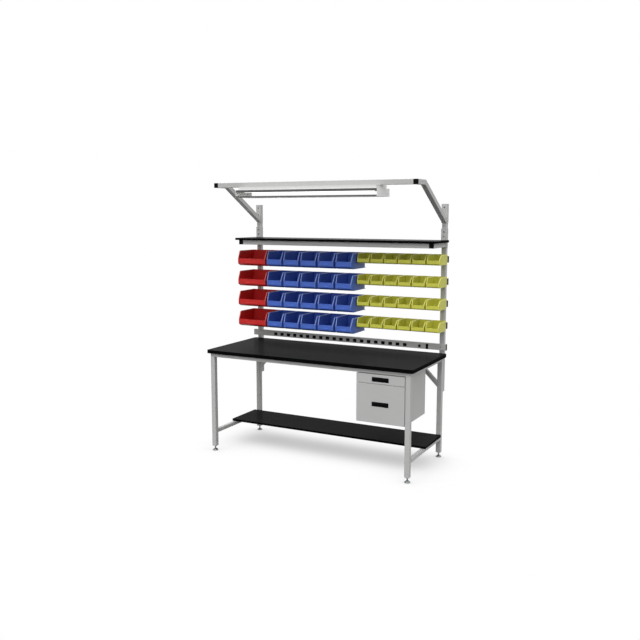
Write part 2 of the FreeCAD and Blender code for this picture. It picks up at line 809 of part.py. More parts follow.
nodes["lamp_holders"] = group([lamp_holder(side, y) for name, side in sides for y in lamp_tube_ys])


def lamp_tube(y):
    start = vec(-lamp_tube_half, y, lamp_tube_z)
    glass = rod(lamp_tube_radius, start, along_x, 2 * lamp_tube_half)
    return glass.cut(rod(lamp_tube_radius - lamp_tube_wall, start, along_x, 2 * lamp_tube_half))


nodes["lamp_tubes"] = group([lamp_tube(y) for y in lamp_tube_ys])

# Drawer cabinet: a folded sheet case, open at the front, on two hangers under the worktop
cabinet_x = (leg_inner_x - cabinet_leg_gap - cabinet_width, leg_inner_x - cabinet_leg_gap)
cabinet_top = rail_top_z[0] - cabinet_rail_gap
cabinet_z = (cabinet_top - cabinet_height, cabinet_top)
drawer_face_y = leg_front_y
cabinet_front_y = drawer_face_y + drawer_front_thickness + drawer_front_clearance
cabinet_y = (cabinet_front_y, front_y + cabinet_back)
inner_x = shrunk(cabinet_x, cabinet_sheet)
inner_z = shrunk(cabinet_z, cabinet_sheet)
case = block(cabinet_x, cabinet_y, cabinet_z)
case = case.makeFillet(cabinet_sheet, edges_along(case, along_y))
nodes["drawer_cabinet"] = case.cut(block(inner_x, (cabinet_y[0], cabinet_y[1] - cabinet_sheet), inner_z))
hanger_y = shrunk(cabinet_y, hanger_end_gap)


def hanger(centre_x):
    x = span(centre_x, hanger_width)
    return tube(x, hanger_y, (cabinet_top, worktop_bottom), along_y, hanger_wall, hanger_wall)


nodes["cabinet_hangers"] = group([hanger(x) for x in shrunk(cabinet_x, hanger_inset)])

# Drawers: a folded box on telescopic runners, a front panel and a recessed black pull
upper_front_z = (cabinet_top - upper_front_height, cabinet_top)
lower_front_z = (cabinet_z[0], upper_front_z[0] - drawer_front_gap)
drawer_box_x = shrunk(inner_x, runner_space)
cabinet_inner_back = cabinet_y[1] - cabinet_sheet
drawer_box_y = (drawer_face_y + drawer_front_thickness, cabinet_inner_back - drawer_back_gap)
upper_box_z = (upper_front_z[0] + drawer_floor_gap, upper_front_z[1] - drawer_top_gap)
lower_box_z = (lower_front_z[0] + drawer_floor_gap, lower_front_z[0] + drawer_floor_gap + lower_box_height)


def drawer_box(z):
    shell = block(drawer_box_x, drawer_box_y, z)
    hollow_z = (z[0] + drawer_sheet, z[1])
    hollow_x = shrunk(drawer_box_x, drawer_sheet)
    return shell.cut(block(hollow_x, shrunk(drawer_box_y, drawer_sheet), hollow_z))


def pull_hole(z_top):
    x = span(sum(cabinet_x) / 2, pull_width - 2 * pull_flange)
    return x, shrunk((z_top - pull_height, z_top), pull_flange)


def drawer_front(z, pull_top):
    """A folded steel pan, open to the back, with the hole for its pull."""
    panel = block(cabinet_x, (drawer_face_y, drawer_face_y + drawer_front_thickness), z)
    face_edges = [edge for edge in panel.Edges if edge.BoundBox.YMax < drawer_face_y + 1e-6]
    panel = panel.makeFillet(drawer_front_radius, face_edges)
    pan_y = (drawer_face_y + drawer_front_sheet, drawer_face_y + drawer_front_thickness)
    panel = panel.cut(block(shrunk(cabinet_x, drawer_front_sheet), pan_y, shrunk(z, drawer_front_sheet)))
    hole_x, hole_z = pull_hole(pull_top)
    return panel.cut(block(hole_x, (drawer_face_y, pan_y[0]), hole_z))


def drawer_pull(z_top):
    """A recessed cup with a flange on the panel and a lip behind which the fingers hook."""
    hole_x, hole_z = pull_hole(z_top)
    flange_y = (drawer_face_y - pull_flange_proud, drawer_face_y)
    flange = block(span(sum(cabinet_x) / 2, pull_width), flange_y, (z_top - pull_height, z_top))
    outer_x = shrunk(hole_x, pull_fit)
    outer_z = shrunk(hole_z, pull_fit)
    cup = block(outer_x, (drawer_face_y, drawer_face_y + pull_depth), outer_z)
    hollow_x = shrunk(outer_x, pull_wall)
    hollow_z = shrunk(outer_z, pull_wall)
    hollow = block(hollow_x, (drawer_face_y, drawer_face_y + pull_depth - pull_wall), hollow_z)
    mouth = block(hollow_x, (flange_y[0], drawer_face_y), (hollow_z[0], hollow_z[1] - pull_lip_height))
    return flange.fuse(cup).cut(hollow).cut(mouth).removeSplitter()


runner_y = (cabinet_front_y, cabinet_inner_back - runner_back_gap)


def channel(depth_in, depth_out, z, side, open_to_drawer):
    """A C-shaped runner member between two distances from a cabinet wall, open to one side."""
    wall_x = inner_x[0] if side < 0 else inner_x[1]
    hollow_in = depth_in + runner_sheet if open_to_drawer else depth_in
    hollow_out = depth_out if open_to_drawer else depth_out - runner_sheet
    outer = sorted((wall_x - side * depth_in, wall_x - side * depth_out))
    hollow = sorted((wall_x - side * hollow_in, wall_x - side * hollow_out))
    return block(outer, runner_y, z).cut(block(hollow, runner_y, shrunk(z, runner_sheet)))


def runner_members(z, side):
    """The fixed, middle and drawer members of one runner, nested with a running gap."""
    step = runner_sheet + runner_gap
    middle_z = shrunk(z, step)
    fixed = channel(0, runner_sheet + runner_flange, z, side, True)
    middle = channel(step, step + runner_sheet + runner_flange, middle_z, side, True)
    inner = channel(2 * step, runner_space, shrunk(middle_z, step), side, False)
    return fixed, middle, inner


fixed_runners = []
for drawer, box_z, front_z, pull_drop in (
    ("upper", upper_box_z, upper_front_z, pull_upper_drop),
    ("lower", lower_box_z, lower_front_z, pull_lower_drop),
):
    pull_top = front_z[1] - pull_drop
    nodes[f"{drawer}_drawer_box"] = drawer_box(box_z)
    nodes[f"{drawer}_drawer_front"] = drawer_front(front_z, pull_top)
    nodes[f"{drawer}_drawer_pull"] = drawer_pull(pull_top)
    runner_z = span(sum(box_z) / 2, runner_height)
    pairs = [runner_members(runner_z, side) for name, side in sides]
    fixed_runners.extend(pair[0] for pair in pairs)
    nodes[f"{drawer}_middle_runners"] = group([pair[1] for pair in pairs])
    nodes[f"{drawer}_inner_runners"] = group([pair[2] for pair in pairs])
nodes["fixed_runners"] = group(fixed_runners)


# Bins: open-fronted boxes with a low lip, a rim round the open edges and a hook on the back
def line_y(start, end, z):
    """Where the line through two (y, z) points reaches a height."""
    return start[0] + (end[0] - start[0]) * (z - start[1]) / (end[1] - start[1])


def line_z(start, end, y):
    """Where the line through two (y, z) points reaches a depth."""
    return start[1] + (end[1] - start[1]) * (y - start[0]) / (end[0] - start[0])


def moved_line(start, end, distance):
    """The line through two (y, z) points, moved towards the back by a distance square to it."""
    length = math.hypot(end[0] - start[0], end[1] - start[1])
    shift = distance * length / abs(end[1] - start[1])
    return (start[0] + shift, start[1]), (end[0] + shift, end[1])


def bin_plan(width, margin, front_inset, shoulder, reach, past, z):
    """A bin seen from above, carried up: its sides close in from the shoulder to the front, and past it."""
    depth = reach + past
    closing = front_inset * (depth - shoulder) / (reach - shoulder)
    left, right = shrunk((0, width), margin)
    corners = [
        (left, 0),
        (left, -shoulder),
        (left + closing, -depth),
        (right - closing, -depth),
        (right, -shoulder),
        (right, 0),
    ]
    outline = Part.makePolygon([vec(x, y, z[0]) for x, y in corners + corners[:1]])
    return Part.Face(outline).extrude(vec(0, 0, z[1] - z[0]))


def bin_shape(width, front_inset, height, base, bevel, reach, shoulder, top_depth, lip, foot_reach):
    """A bin with its left side at X = 0, its back at Y = 0 and its rail's centre at Z = 0."""
    top = bin_top_rise
    floor = top - height
    lip_z = floor + lip
    bevel_z = floor + bevel
    lip_y = bin_lip_set_back - reach
    base_front = (-base, floor)
    bevel_front = (lip_y, bevel_z)
    wall_front = (bin_lip_set_back - top_depth, top)
    body = prism([(0, floor), base_front, bevel_front, (lip_y, lip_z), wall_front, (0, top)], (0, width))
    low_edges = []
    for edge in edges_along(body, along_x):
        centre = edge.CenterOfMass
        if centre.y < -bin_wall and centre.z < bevel_z + bin_wall:
            low_edges.append(edge)
    body = body.makeFillet(bin_corner, low_edges)
    plan_z = (floor - height, top + height)
    outer_plan = bin_plan(width, bin_rim_out, front_inset, shoulder, reach - bin_lip_set_back, 0, plan_z)
    upright_edges = edges_along(outer_plan, along_z)
    front_edges = [edge for edge in upright_edges if edge.CenterOfMass.y < -shoulder - bin_wall]
    body = body.common(outer_plan.makeFillet(bin_corner, front_edges))
    wall_base, wall_bevel = moved_line(base_front, bevel_front, bin_wall)
    inner_floor = floor + bin_wall
    inner_lip_y = lip_y + bin_wall
    inner_bevel_z = line_z(wall_base, wall_bevel, inner_lip_y)
    beyond = -reach - height
    cavity = prism(
        [
            (-bin_wall, inner_floor),
            (line_y(wall_base, wall_bevel, inner_floor), inner_floor),
            (inner_lip_y, inner_bevel_z),
            (inner_lip_y, lip_z),
            (beyond, lip_z),
            (beyond, plan_z[1]),
            (-bin_wall, plan_z[1]),
        ],
        (0, width),
    )
    inner_margin = bin_rim_out + bin_wall
    inner_plan = bin_plan(width, inner_margin, front_inset, shoulder, reach, height, plan_z)
    body = body.cut(cavity.common(inner_plan))
    rim_lip = (-reach, lip_z)
    rim_top = (-top_depth, top)
    band_lip, band_rim = moved_line(rim_lip, rim_top, bin_rim_band)
    band_top = top - bin_rim_band
    rim_outline = [
        (0, top),
        rim_top,
        rim_lip,
        (-reach, bevel_z),
        (band_lip[0], bevel_z),
        band_lip,
        (line_y(band_lip, band_rim, band_top), band_top),
        (0, band_top),
    ]
    rims = prism(rim_outline, (0, width)).common(bin_plan(width, 0, front_inset, shoulder, reach, 0, plan_z))
    rims = rims.cut(bin_plan(width, inner_margin + bin_rim_in, front_inset, shoulder, reach, height, plan_z))
    body_x = shrunk((0, width), bin_rim_out)
    additions = list(rims.Solids)
    tongue_top = cross_rail_height / 2 - bin_rail_front_drop
    hook_z = tongue_top + bin_clearance
    hook_y = bin_clearance + cross_rail_wall + bin_clearance
    hook_x = shrunk(body_x, bin_hook_inset)
    additions.append(block(hook_x, (0, hook_y + bin_hook_thickness), (hook_z, hook_z + bin_hook_thickness)))
    additions.append(block(hook_x, (hook_y, hook_y + bin_hook_thickness), (hook_z - bin_hook_drop, hook_z)))
    if foot_reach > 0:
        additions.append(block(body_x, (-bin_wall, foot_reach), (floor, floor + large_bin_foot_thickness)))
    return body.fuse(additions).removeSplitter()


def placed_bin(shape, left, row):
    """A copy of a bin, hung on a rail; row 1 is the top one."""
    copy = shape.copy()
    copy.translate(vec(left, rail_front_y - bin_clearance, top_rail_centre - (row - 1) * cross_rail_pitch))
    return copy


red_bin = bin_shape(red_bin_width, red_bin_front_inset, large_bin_height, large_bin_base, large_bin_bevel,
                    large_bin_reach, large_bin_shoulder, large_bin_top, large_bin_lip, large_bin_foot)
blue_bin = bin_shape(blue_bin_width, blue_bin_front_inset, large_bin_height, large_bin_base, large_bin_bevel,
                     large_bin_reach, large_bin_shoulder, large_bin_top, large_bin_lip, large_bin_foot)
yellow_bin = bin_shape(yellow_bin_width, yellow_bin_front_inset, yellow_bin_height, yellow_bin_base,
                       yellow_bin_bevel, yellow_bin_reach, yellow_bin_shoulder, yellow_bin_top,
                       yellow_bin_lip, 0)
red_left = -worktop_width / 2
blue_left = red_left + red_bin_width + bin_gap
yellow_left = blue_left + blue_bin_count * (blue_bin_width + bin_gap)
yellow_room = worktop_width / 2 - yellow_left + bin_gap
yellow_bin_count = int(yellow_room / (yellow_bin_width + bin_gap))
blue_lefts = [blue_left + k * (blue_bin_width + bin_gap) for k in range(blue_bin_count)]
yellow_lefts = [yellow_left + k * (yellow_bin_width + bin_gap) for k in range(yellow_bin_count)]
for row in range(1, bin_rail_count + 1):
    nodes[f"red_bin_row_{row}"] = placed_bin(red_bin, red_left, row)
    nodes[f"blue_bins_row_{row}"] = group([placed_bin(blue_bin, left, row) for left in blue_lefts])
    nodes[f"yellow_bins_row_{row}"] = group([placed_bin(yellow_bin, left, row) for left in yellow_lefts])

os.makedirs("parts", exist_ok=True)
for name, shape in nodes.items():
    if not shape.isValid():
        raise ValueError(f"{name} is not a valid shape")
    shape.exportStep(f"parts/{name}.step")
    print(name, len(shape.Solids), "solids", round(shape.Volume / 1000, 1), "cm3")
print(len(nodes), "nodes")
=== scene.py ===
import math

import bmesh
import bpy
import numpy as np
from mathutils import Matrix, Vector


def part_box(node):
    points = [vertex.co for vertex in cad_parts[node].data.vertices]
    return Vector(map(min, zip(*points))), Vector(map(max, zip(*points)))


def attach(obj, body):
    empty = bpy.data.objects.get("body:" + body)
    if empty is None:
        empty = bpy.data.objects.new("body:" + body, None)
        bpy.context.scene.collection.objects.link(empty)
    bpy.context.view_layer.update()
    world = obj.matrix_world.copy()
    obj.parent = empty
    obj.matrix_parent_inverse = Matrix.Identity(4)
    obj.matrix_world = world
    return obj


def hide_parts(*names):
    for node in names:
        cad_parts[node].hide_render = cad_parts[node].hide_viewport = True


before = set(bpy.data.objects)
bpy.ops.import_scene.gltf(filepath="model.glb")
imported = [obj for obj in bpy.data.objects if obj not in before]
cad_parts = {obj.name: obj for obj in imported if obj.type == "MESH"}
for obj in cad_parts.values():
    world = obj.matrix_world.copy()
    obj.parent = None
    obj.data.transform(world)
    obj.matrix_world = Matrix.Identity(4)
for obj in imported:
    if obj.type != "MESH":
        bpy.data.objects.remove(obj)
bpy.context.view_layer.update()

scene = bpy.context.scene
scene.view_settings.view_transform = "Standard"


# Camera: it stands in front of the bench and to its right, a little above the middle, and looks slightly
# down. Its place, turn and lens follow from the straight edges of the frame in a square picture.
camera = bpy.data.objects.new("camera", bpy.data.cameras.new("camera"))
camera_tilt = 0.137
camera_turn = 0.484
camera.location = (2.8214, -5.4726, 1.9548)
camera.rotation_euler = (math.pi / 2 - camera_tilt, 0, camera_turn)
camera.data.sensor_width = 36
camera.data.lens = 43.41
scene.collection.objects.link(camera)
scene.camera = camera


# Studio: a white room with a pale floor that has no visible edge and even light from all round. A high lamp
# in front, weaker ones on the right and behind on the left and a low one near the camera give the form, and
# the floor sends up little light.
def linear(colour):
    """Turns an sRGB hex value into linear red, green, blue and alpha by the sRGB curve."""
    encoded = np.array([int(colour[k:k + 2], 16) for k in (0, 2, 4)]) / 255
    decoded = np.where(encoded <= 0.04045, encoded / 12.92, ((encoded + 0.055) / 1.055) ** 2.4)
    return (*decoded.tolist(), 1.0)


def add_node(tree, kind, settings, links):
    """Adds a node. A setting named after an input is that input's value, any other is the node's own
    property, and a link gives the output that feeds an input."""
    node = tree.nodes.new(kind)
    for name, value in settings.items():
        if isinstance(name, int) or name in node.inputs:
            node.inputs[name].default_value = value
        else:
            setattr(node, name, value)
    for name, source in links.items():
        tree.links.new(source, node.inputs[name])
    return node


def empty_tree(owner):
    """The owner's node tree with nothing in it yet."""
    owner.use_nodes = True
    owner.node_tree.nodes.clear()
    return owner.node_tree


def seen_by_eye(tree):
    """1 for rays from the camera and for those mirrored or passed on by a surface, 0 for other light."""
    path = add_node(tree, "ShaderNodeLightPath", {}, {}).outputs
    direct = add_node(tree, "ShaderNodeMath", {"operation": "ADD", "use_clamp": True},
                      {0: path["Is Camera Ray"], 1: path["Is Glossy Ray"]})
    total = add_node(tree, "ShaderNodeMath", {"operation": "ADD", "use_clamp": True},
                     {0: direct.outputs[0], 1: path["Is Transmission Ray"]})
    return total.outputs[0]


room_level = 0.67
room = bpy.data.worlds.new("white_room")
scene.world = room
tree = empty_tree(room)
level = add_node(tree, "ShaderNodeMath", {"operation": "MULTIPLY_ADD", 1: 1 - room_level, 2: room_level},
                 {0: seen_by_eye(tree)})
walls = add_node(tree, "ShaderNodeBackground", {"Color": linear("ffffff")}, {"Strength": level.outputs[0]})
add_node(tree, "ShaderNodeOutputWorld", {}, {"Surface": walls.outputs[0]})

floor_reach = 40.0
floor_corners = [(-1, -1, 0), (1, -1, 0), (1, 1, 0), (-1, 1, 0)]
floor_mesh = bpy.data.meshes.new("floor")
floor_mesh.from_pydata((np.array(floor_corners) * floor_reach).tolist(), [], [(0, 1, 2, 3)])
floor = bpy.data.objects.new("floor", floor_mesh)
scene.collection.objects.link(floor)

# Matt white floor: seen directly it glows white, with a painted soft shadow of what stands up to 420 mm
# above it. The share of open sky above a point sets how deep the painted shadow is.
shadow_reach = 0.42
shadow_level = 0.48
full_shadow_sky = 0.2
no_shadow_sky = 0.92
floor_bounce_colour = "585858"
pale_floor = bpy.data.materials.new("matt_white_floor")
tree = empty_tree(pale_floor)
open_sky = add_node(tree, "ShaderNodeAmbientOcclusion", {"Distance": shadow_reach}, {}).outputs["AO"]
painted_shadow_strength = add_node(tree, "ShaderNodeMapRange",
                      {"From Min": full_shadow_sky, "From Max": no_shadow_sky, "To Min": shadow_level},
                      {"Value": open_sky})
shown = add_node(tree, "ShaderNodeEmission", {"Color": linear("ffffff")}, {"Strength": painted_shadow_strength.outputs[0]})
bounced = add_node(tree, "ShaderNodeBsdfDiffuse", {"Color": linear(floor_bounce_colour)}, {})
either = add_node(tree, "ShaderNodeMixShader", {}, {0: seen_by_eye(tree), 1: bounced.outputs[0],
                                                    2: shown.outputs[0]})
add_node(tree, "ShaderNodeOutputMaterial", {}, {"Surface": either.outputs[0]})
floor_mesh.materials.append(pale_floor)


def add_lamp(name, turn, rise, level, softness):
    """A distant lamp, turned in degrees from straight in front towards the right, raised above the floor and
    as wide as its softness; at level 1 a white surface that faces it renders white."""
    lamp = bpy.data.objects.new(name, bpy.data.lights.new(name, "SUN"))
    lamp.data.energy = level * math.pi
    lamp.data.angle = math.radians(softness)
    lamp.rotation_euler = (math.radians(90 - rise), 0, math.radians(turn))
    scene.collection.objects.link(lamp)


add_lamp("front_lamp", turn=5, rise=52, level=0.47, softness=30)
add_lamp("side_lamp", turn=92, rise=35, level=0.20, softness=60)
add_lamp("low_lamp", turn=10, rise=11, level=0.19, softness=40)
add_lamp("back_lamp", turn=228, rise=38, level=0.30, softness=45)


# Bench frame: square steel tube, welded at the joints and powder-coated light grey. The uprights, brackets,
# arms, cross rails and the drawer unit have the same coat over tube, plate and folded sheet.
coat_colour = "bbbbba"
coat_drift_colour = "b4b4b3"
coat_drift_size = 0.35
orange_peel_size = 0.004

# Powder-coated steel: satin and even, with a faint orange peel from the melted powder. The peel is drawn
# 4 mm wide, about twice its real size, so that it shows.
powder_coat = bpy.data.materials.new("powder_coated_steel")
tree = empty_tree(powder_coat)
place = add_node(tree, "ShaderNodeTexCoord", {}, {}).outputs["Object"]
drift = add_node(tree, "ShaderNodeTexNoise", {"Scale": 1 / coat_drift_size, "Detail": 2.0}, {"Vector": place})
colour = add_node(tree, "ShaderNodeMix",
                  {"data_type": "RGBA", 6: linear(coat_colour), 7: linear(coat_drift_colour)},
                  {0: drift.outputs["Fac"]})
peel = add_node(tree, "ShaderNodeTexNoise", {"Scale": 1 / orange_peel_size, "Detail": 1.0}, {"Vector": place})
gloss = add_node(tree, "ShaderNodeMapRange", {"To Min": 0.42, "To Max": 0.52}, {"Value": peel.outputs["Fac"]})
bump = add_node(tree, "ShaderNodeBump", {"Strength": 0.15, "Distance": 0.0004},
                {"Height": peel.outputs["Fac"]})
coat = add_node(tree, "ShaderNodeBsdfPrincipled", {"Specular IOR Level": 0.35},
                {"Base Color": colour.outputs[2], "Roughness": gloss.outputs[0], "Normal": bump.outputs[0]})
add_node(tree, "ShaderNodeOutputMaterial", {}, {"Surface": coat.outputs[0]})


def dress(finish, *nodes):
    """Gives solids of the frame a finish in place of their plain one."""
    for node in nodes:
        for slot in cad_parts[node].material_slots:
            slot.material = finish


corners = [f"{end}_{side}" for end in ("front", "back") for side in ("left", "right")]
dress(powder_coat, *[f"leg_{corner}" for corner in corners])
dress(powder_coat, "long_rails", "top_side_rails", "low_side_rails", "knee_braces")


# Levelling feet: a turned pad with a conical neck, a threaded stud and a hexagon collar for the spanner.
# They are steel, zinc-plated, and screw into the plate that closes the bottom of each leg.
foot_stud_radius = 5.0
foot_collar_flats = 17.0
foot_collar_z = (31.0, 40.0)
foot_neck_z = 18.0
foot_stud_end = 85.0
foot_stud_chamfer = 1.5
thread_pitch = 1.5
thread_depth = 0.8
thread_rows = 5
thread_start = 0.1


def grid_faces(rows, columns, wrap):
    """Corner numbers of the squares in a grid of points; with wrap, the last column joins the first."""
    down = np.arange(rows - 1)[:, None]
    along = np.arange(columns if wrap else columns - 1)[None, :]
    onward = (along + 1) % columns
    square = (down * columns + along, down * columns + onward,
              (down + 1) * columns + onward, (down + 1) * columns + along)
    return np.stack(np.broadcast_arrays(*square), axis=-1).reshape(-1, 4)


def add_piece(name, grids, finish, body, stands_for=(), wrap=True, crease=38, marks=None):
    """One object from grids of points in millimetres. Rows that shrink to a point are merged into poles,
    faces are turned outwards, and edges sharper than the crease angle stay sharp. Marks are numbers, one for
    each point, that the finish reads under the name rim and draws as a painted highlight."""
    points = []
    faces = []
    count = 0
    for grid in grids:
        rows, columns = grid.shape[:2]
        points.append(grid.reshape(-1, 3) / 1000)
        faces.append(grid_faces(rows, columns, wrap) + count)
        count += rows * columns
    mesh = bpy.data.meshes.new(name)
    mesh.from_pydata(np.concatenate(points).tolist(), [], np.concatenate(faces).tolist())
    if marks is not None:
        layer = mesh.attributes.new("rim", "FLOAT", "POINT")
        layer.data.foreach_set("value", np.concatenate([mark.ravel() for mark in marks]))
    shell = bmesh.new()
    shell.from_mesh(mesh)
    bmesh.ops.remove_doubles(shell, verts=shell.verts, dist=1e-6)
    bmesh.ops.recalc_face_normals(shell, faces=shell.faces)
    shell.to_mesh(mesh)
    shell.free()
    mesh.shade_smooth()
    mesh.set_sharp_from_angle(angle=math.radians(crease))
    mesh.materials.append(finish)
    piece = bpy.data.objects.new(name, mesh)
    scene.collection.objects.link(piece)
    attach(piece, body)
    if stands_for:
        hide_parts(*stands_for)
    return piece


def hexagon_radius(flats, angle):
    """Distance from the middle of a hexagon to its side, by angle: half the flats over the cosine of the
    angle from the nearest side's middle."""
    return flats / 2 / np.cos((angle % (np.pi / 3)) - np.pi / 6)


def levelling_foot():
    """A turned shape about Z: each row is a radius and a height. On the stud the radius rises and falls as a
    triangle wave of height less turn, which makes a thread; on the collar it is the lesser of the hexagon
    and a limit that chamfers both ends."""
    angle = np.linspace(0, 2 * np.pi, 48, endpoint=False)[None, :]
    base = np.array([(0, 0), (19.5, 0), (21.4, 0.6), (22, 2), (22, 6.2), (21.3, 7.2), (15.2, 12.2),
                     (9.6, 17.2), (9, 17.7), (8.2, foot_neck_z), (foot_stud_radius, foot_neck_z)])
    base_radius = base[:, :1] + 0 * angle

    def thread(low, high):
        z = np.arange(low, high, thread_pitch / thread_rows)[:, None]
        turn = (z / thread_pitch - angle / (2 * np.pi)) % 1
        return z, foot_stud_radius - thread_depth * np.abs(2 * turn - 1)

    collar_low, collar_high = foot_collar_z
    collar_rows = np.array([(collar_low, foot_stud_radius), (collar_low, 8.7), (collar_low + 0.6, 9.9),
                            (collar_high - 0.6, 9.9), (collar_high, 8.7), (collar_high, foot_stud_radius)])
    collar_radius = np.minimum(hexagon_radius(foot_collar_flats, angle), collar_rows[:, 1:])
    low_z, low_radius = thread(foot_neck_z + thread_start, collar_low)
    high_z, high_radius = thread(collar_high + thread_start, foot_stud_end - foot_stud_chamfer)
    end = np.array([(3.8, foot_stud_end - 0.4), (3.2, foot_stud_end), (0, foot_stud_end)])
    radius = np.concatenate([base_radius, low_radius, collar_radius, high_radius, end[:, :1] + 0 * angle])
    z = np.concatenate([base[:, 1:], low_z, collar_rows[:, :1], high_z, end[:, 1:]])
    return np.stack([radius * np.cos(angle), radius * np.sin(angle), z + 0 * angle], axis=-1)


# Bright zinc plate on steel: grey metal with a soft gloss and a cloudy film; the clouds are about 6 mm.
zinc_deep_colour = "6e7174"
zinc_pale_colour = "8d9092"
zinc_cloud_size = 0.006
zinc_plate = bpy.data.materials.new("zinc_plated_steel")
tree = empty_tree(zinc_plate)
place = add_node(tree, "ShaderNodeTexCoord", {}, {}).outputs["Object"]
film = add_node(tree, "ShaderNodeTexNoise", {"Scale": 1 / zinc_cloud_size, "Detail": 3.0}, {"Vector": place})
colour = add_node(tree, "ShaderNodeMix",
                  {"data_type": "RGBA", 6: linear(zinc_deep_colour), 7: linear(zinc_pale_colour)},
                  {0: film.outputs["Fac"]})
gloss = add_node(tree, "ShaderNodeMapRange", {"To Min": 0.28, "To Max": 0.46}, {"Value": film.outputs["Fac"]})
metal = add_node(tree, "ShaderNodeBsdfPrincipled", {"Metallic": 1.0},
                 {"Base Color": colour.outputs[2], "Roughness": gloss.outputs[0]})
add_node(tree, "ShaderNodeOutputMaterial", {}, {"Surface": metal.outputs[0]})

foot_shape = levelling_foot()
for corner in corners:
    low, high = (np.array(point) * 1000 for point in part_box(f"foot_{corner}"))
    centre = np.array([(low[0] + high[0]) / 2, (low[1] + high[1]) / 2, 0])
    add_piece(f"levelling_foot_{corner}", [foot_shape + centre], zinc_plate, f"foot_{corner}_body",
              [f"foot_{corner}"])


# Boards: worktop, lower shelf and upper shelf of particle board, faced with dark anti-static laminate and
# closed round the edge with a black plastic band. They lie on the rails and are screwed from below.
laminate_colour = "222222"
laminate_fleck_colour = "2b2b2b"
edge_band_colour = "0b0b0c"
fleck_size = 0.003

# High-pressure laminate: satin, so that what stands on it shows dimly at a low angle, and charcoal with fine
# paler flecks, drawn 3 mm wide, about three times their real size. The edge band is ABS, black.
laminate = bpy.data.materials.new("anti_static_laminate")
tree = empty_tree(laminate)
place = add_node(tree, "ShaderNodeTexCoord", {}, {}).outputs["Object"]
fleck = add_node(tree, "ShaderNodeTexNoise", {"Scale": 1 / fleck_size, "Detail": 2.0, "Roughness": 0.7},
                 {"Vector": place})
fleck_share = add_node(tree, "ShaderNodeMapRange", {"From Min": 0.5, "From Max": 0.68},
                       {"Value": fleck.outputs["Fac"]})
face_colour = add_node(tree, "ShaderNodeMix",
                       {"data_type": "RGBA", 6: linear(laminate_colour), 7: linear(laminate_fleck_colour)},
                       {0: fleck_share.outputs[0]})
facing = add_node(tree, "ShaderNodeNewGeometry", {}, {}).outputs["Normal"]
upward = add_node(tree, "ShaderNodeSeparateXYZ", {}, {0: facing}).outputs["Z"]
level_face = add_node(tree, "ShaderNodeMath", {"operation": "ABSOLUTE"}, {0: upward})
on_face = add_node(tree, "ShaderNodeMapRange", {"From Min": 0.9, "From Max": 0.96},
                   {"Value": level_face.outputs[0]}).outputs[0]
colour = add_node(tree, "ShaderNodeMix", {"data_type": "RGBA", 6: linear(edge_band_colour)},
                  {0: on_face, 7: face_colour.outputs[2]})
gloss = add_node(tree, "ShaderNodeMapRange", {"To Min": 0.2, "To Max": 0.28},
                 {"Value": fleck.outputs["Fac"]})
bump = add_node(tree, "ShaderNodeBump", {"Strength": 0.1, "Distance": 0.0003},
                {"Height": fleck.outputs["Fac"]})
board = add_node(tree, "ShaderNodeBsdfPrincipled", {"Specular IOR Level": 0.001},
                 {"Base Color": colour.outputs[2], "Roughness": gloss.outputs[0], "Normal": bump.outputs[0]})
add_node(tree, "ShaderNodeOutputMaterial", {}, {"Surface": board.outputs[0]})
dress(laminate, "worktop", "lower_shelf", "upper_shelf")


# Uprights, brackets and arms: square tube behind the back legs, with U-shaped plate brackets that straddle
# it and carry the shelf arms and the bent light arms, all in the frame's grey coat.
dress(powder_coat, "uprights", "shelf_brackets", "shelf_cross_rail", "light_arms", "light_rail")


# Bolts and screws: button-head bolts with a hexagon socket and washer hold the brackets to the uprights, and
# cross-recessed pan-head screws hold the cross rails. Steel with a bright zinc plate.
upright_x = 854.0
bracket_face_y = 352.0
bracket_bolt_z = (2005.0, 1945.0, 1815.0, 1778.0)
power_rail_face_y = 331.0
power_rail_z = 902.0
bin_rail_back_y = 354.0
bin_rail_pitch = 174.5
bin_rail_z = tuple(power_rail_z + bin_rail_pitch * k for k in (1, 2, 3, 4))
washer_radius = 7.0
washer_thickness = 1.0
bolt_head_radius = 6.3
bolt_dome_height = 4.3
bolt_dome_sweep = 1.15
bolt_socket_flats = 4.0


def front_facing(shape, x, y, z):
    """Turns a shape drawn in the plane with its height upwards so that its height points to the front."""
    return np.stack([x + shape[..., 0], y - shape[..., 2], z + shape[..., 1]], axis=-1)


def turned(radius, height, angle):
    """A turned shape: each row is a ring whose radius may change with the angle, at its own height."""
    ring_radius = radius + 0 * angle
    return np.stack([ring_radius * np.cos(angle), ring_radius * np.sin(angle), height + 0 * angle], axis=-1)


def button_bolt():
    """Washer, dome and hexagon socket as rings from the outer rim to the middle of the socket's floor; the
    dome is an arc of an ellipse, and the socket's rings have the hexagon's radius."""
    angle = np.linspace(0, 2 * np.pi, 36, endpoint=False)[None, :]
    sweep = np.linspace(0, bolt_dome_sweep, 7)
    rim = np.array([(0, 0), (washer_radius, 0), (washer_radius, 0.7), (washer_radius - 0.3, washer_thickness),
                    (bolt_head_radius, washer_thickness)])
    dome = np.stack([bolt_head_radius * np.cos(sweep), washer_thickness + bolt_dome_height * np.sin(sweep)],
                    axis=-1)
    outer = np.concatenate([rim, dome])
    socket = hexagon_radius(bolt_socket_flats, angle) + np.zeros((2, 1))
    radius = np.concatenate([outer[:, :1] + 0 * angle, socket, 0 * angle])
    height = np.concatenate([outer[:, 1:], [[4.7], [2.2], [2.0]]])
    return turned(radius, height, angle)


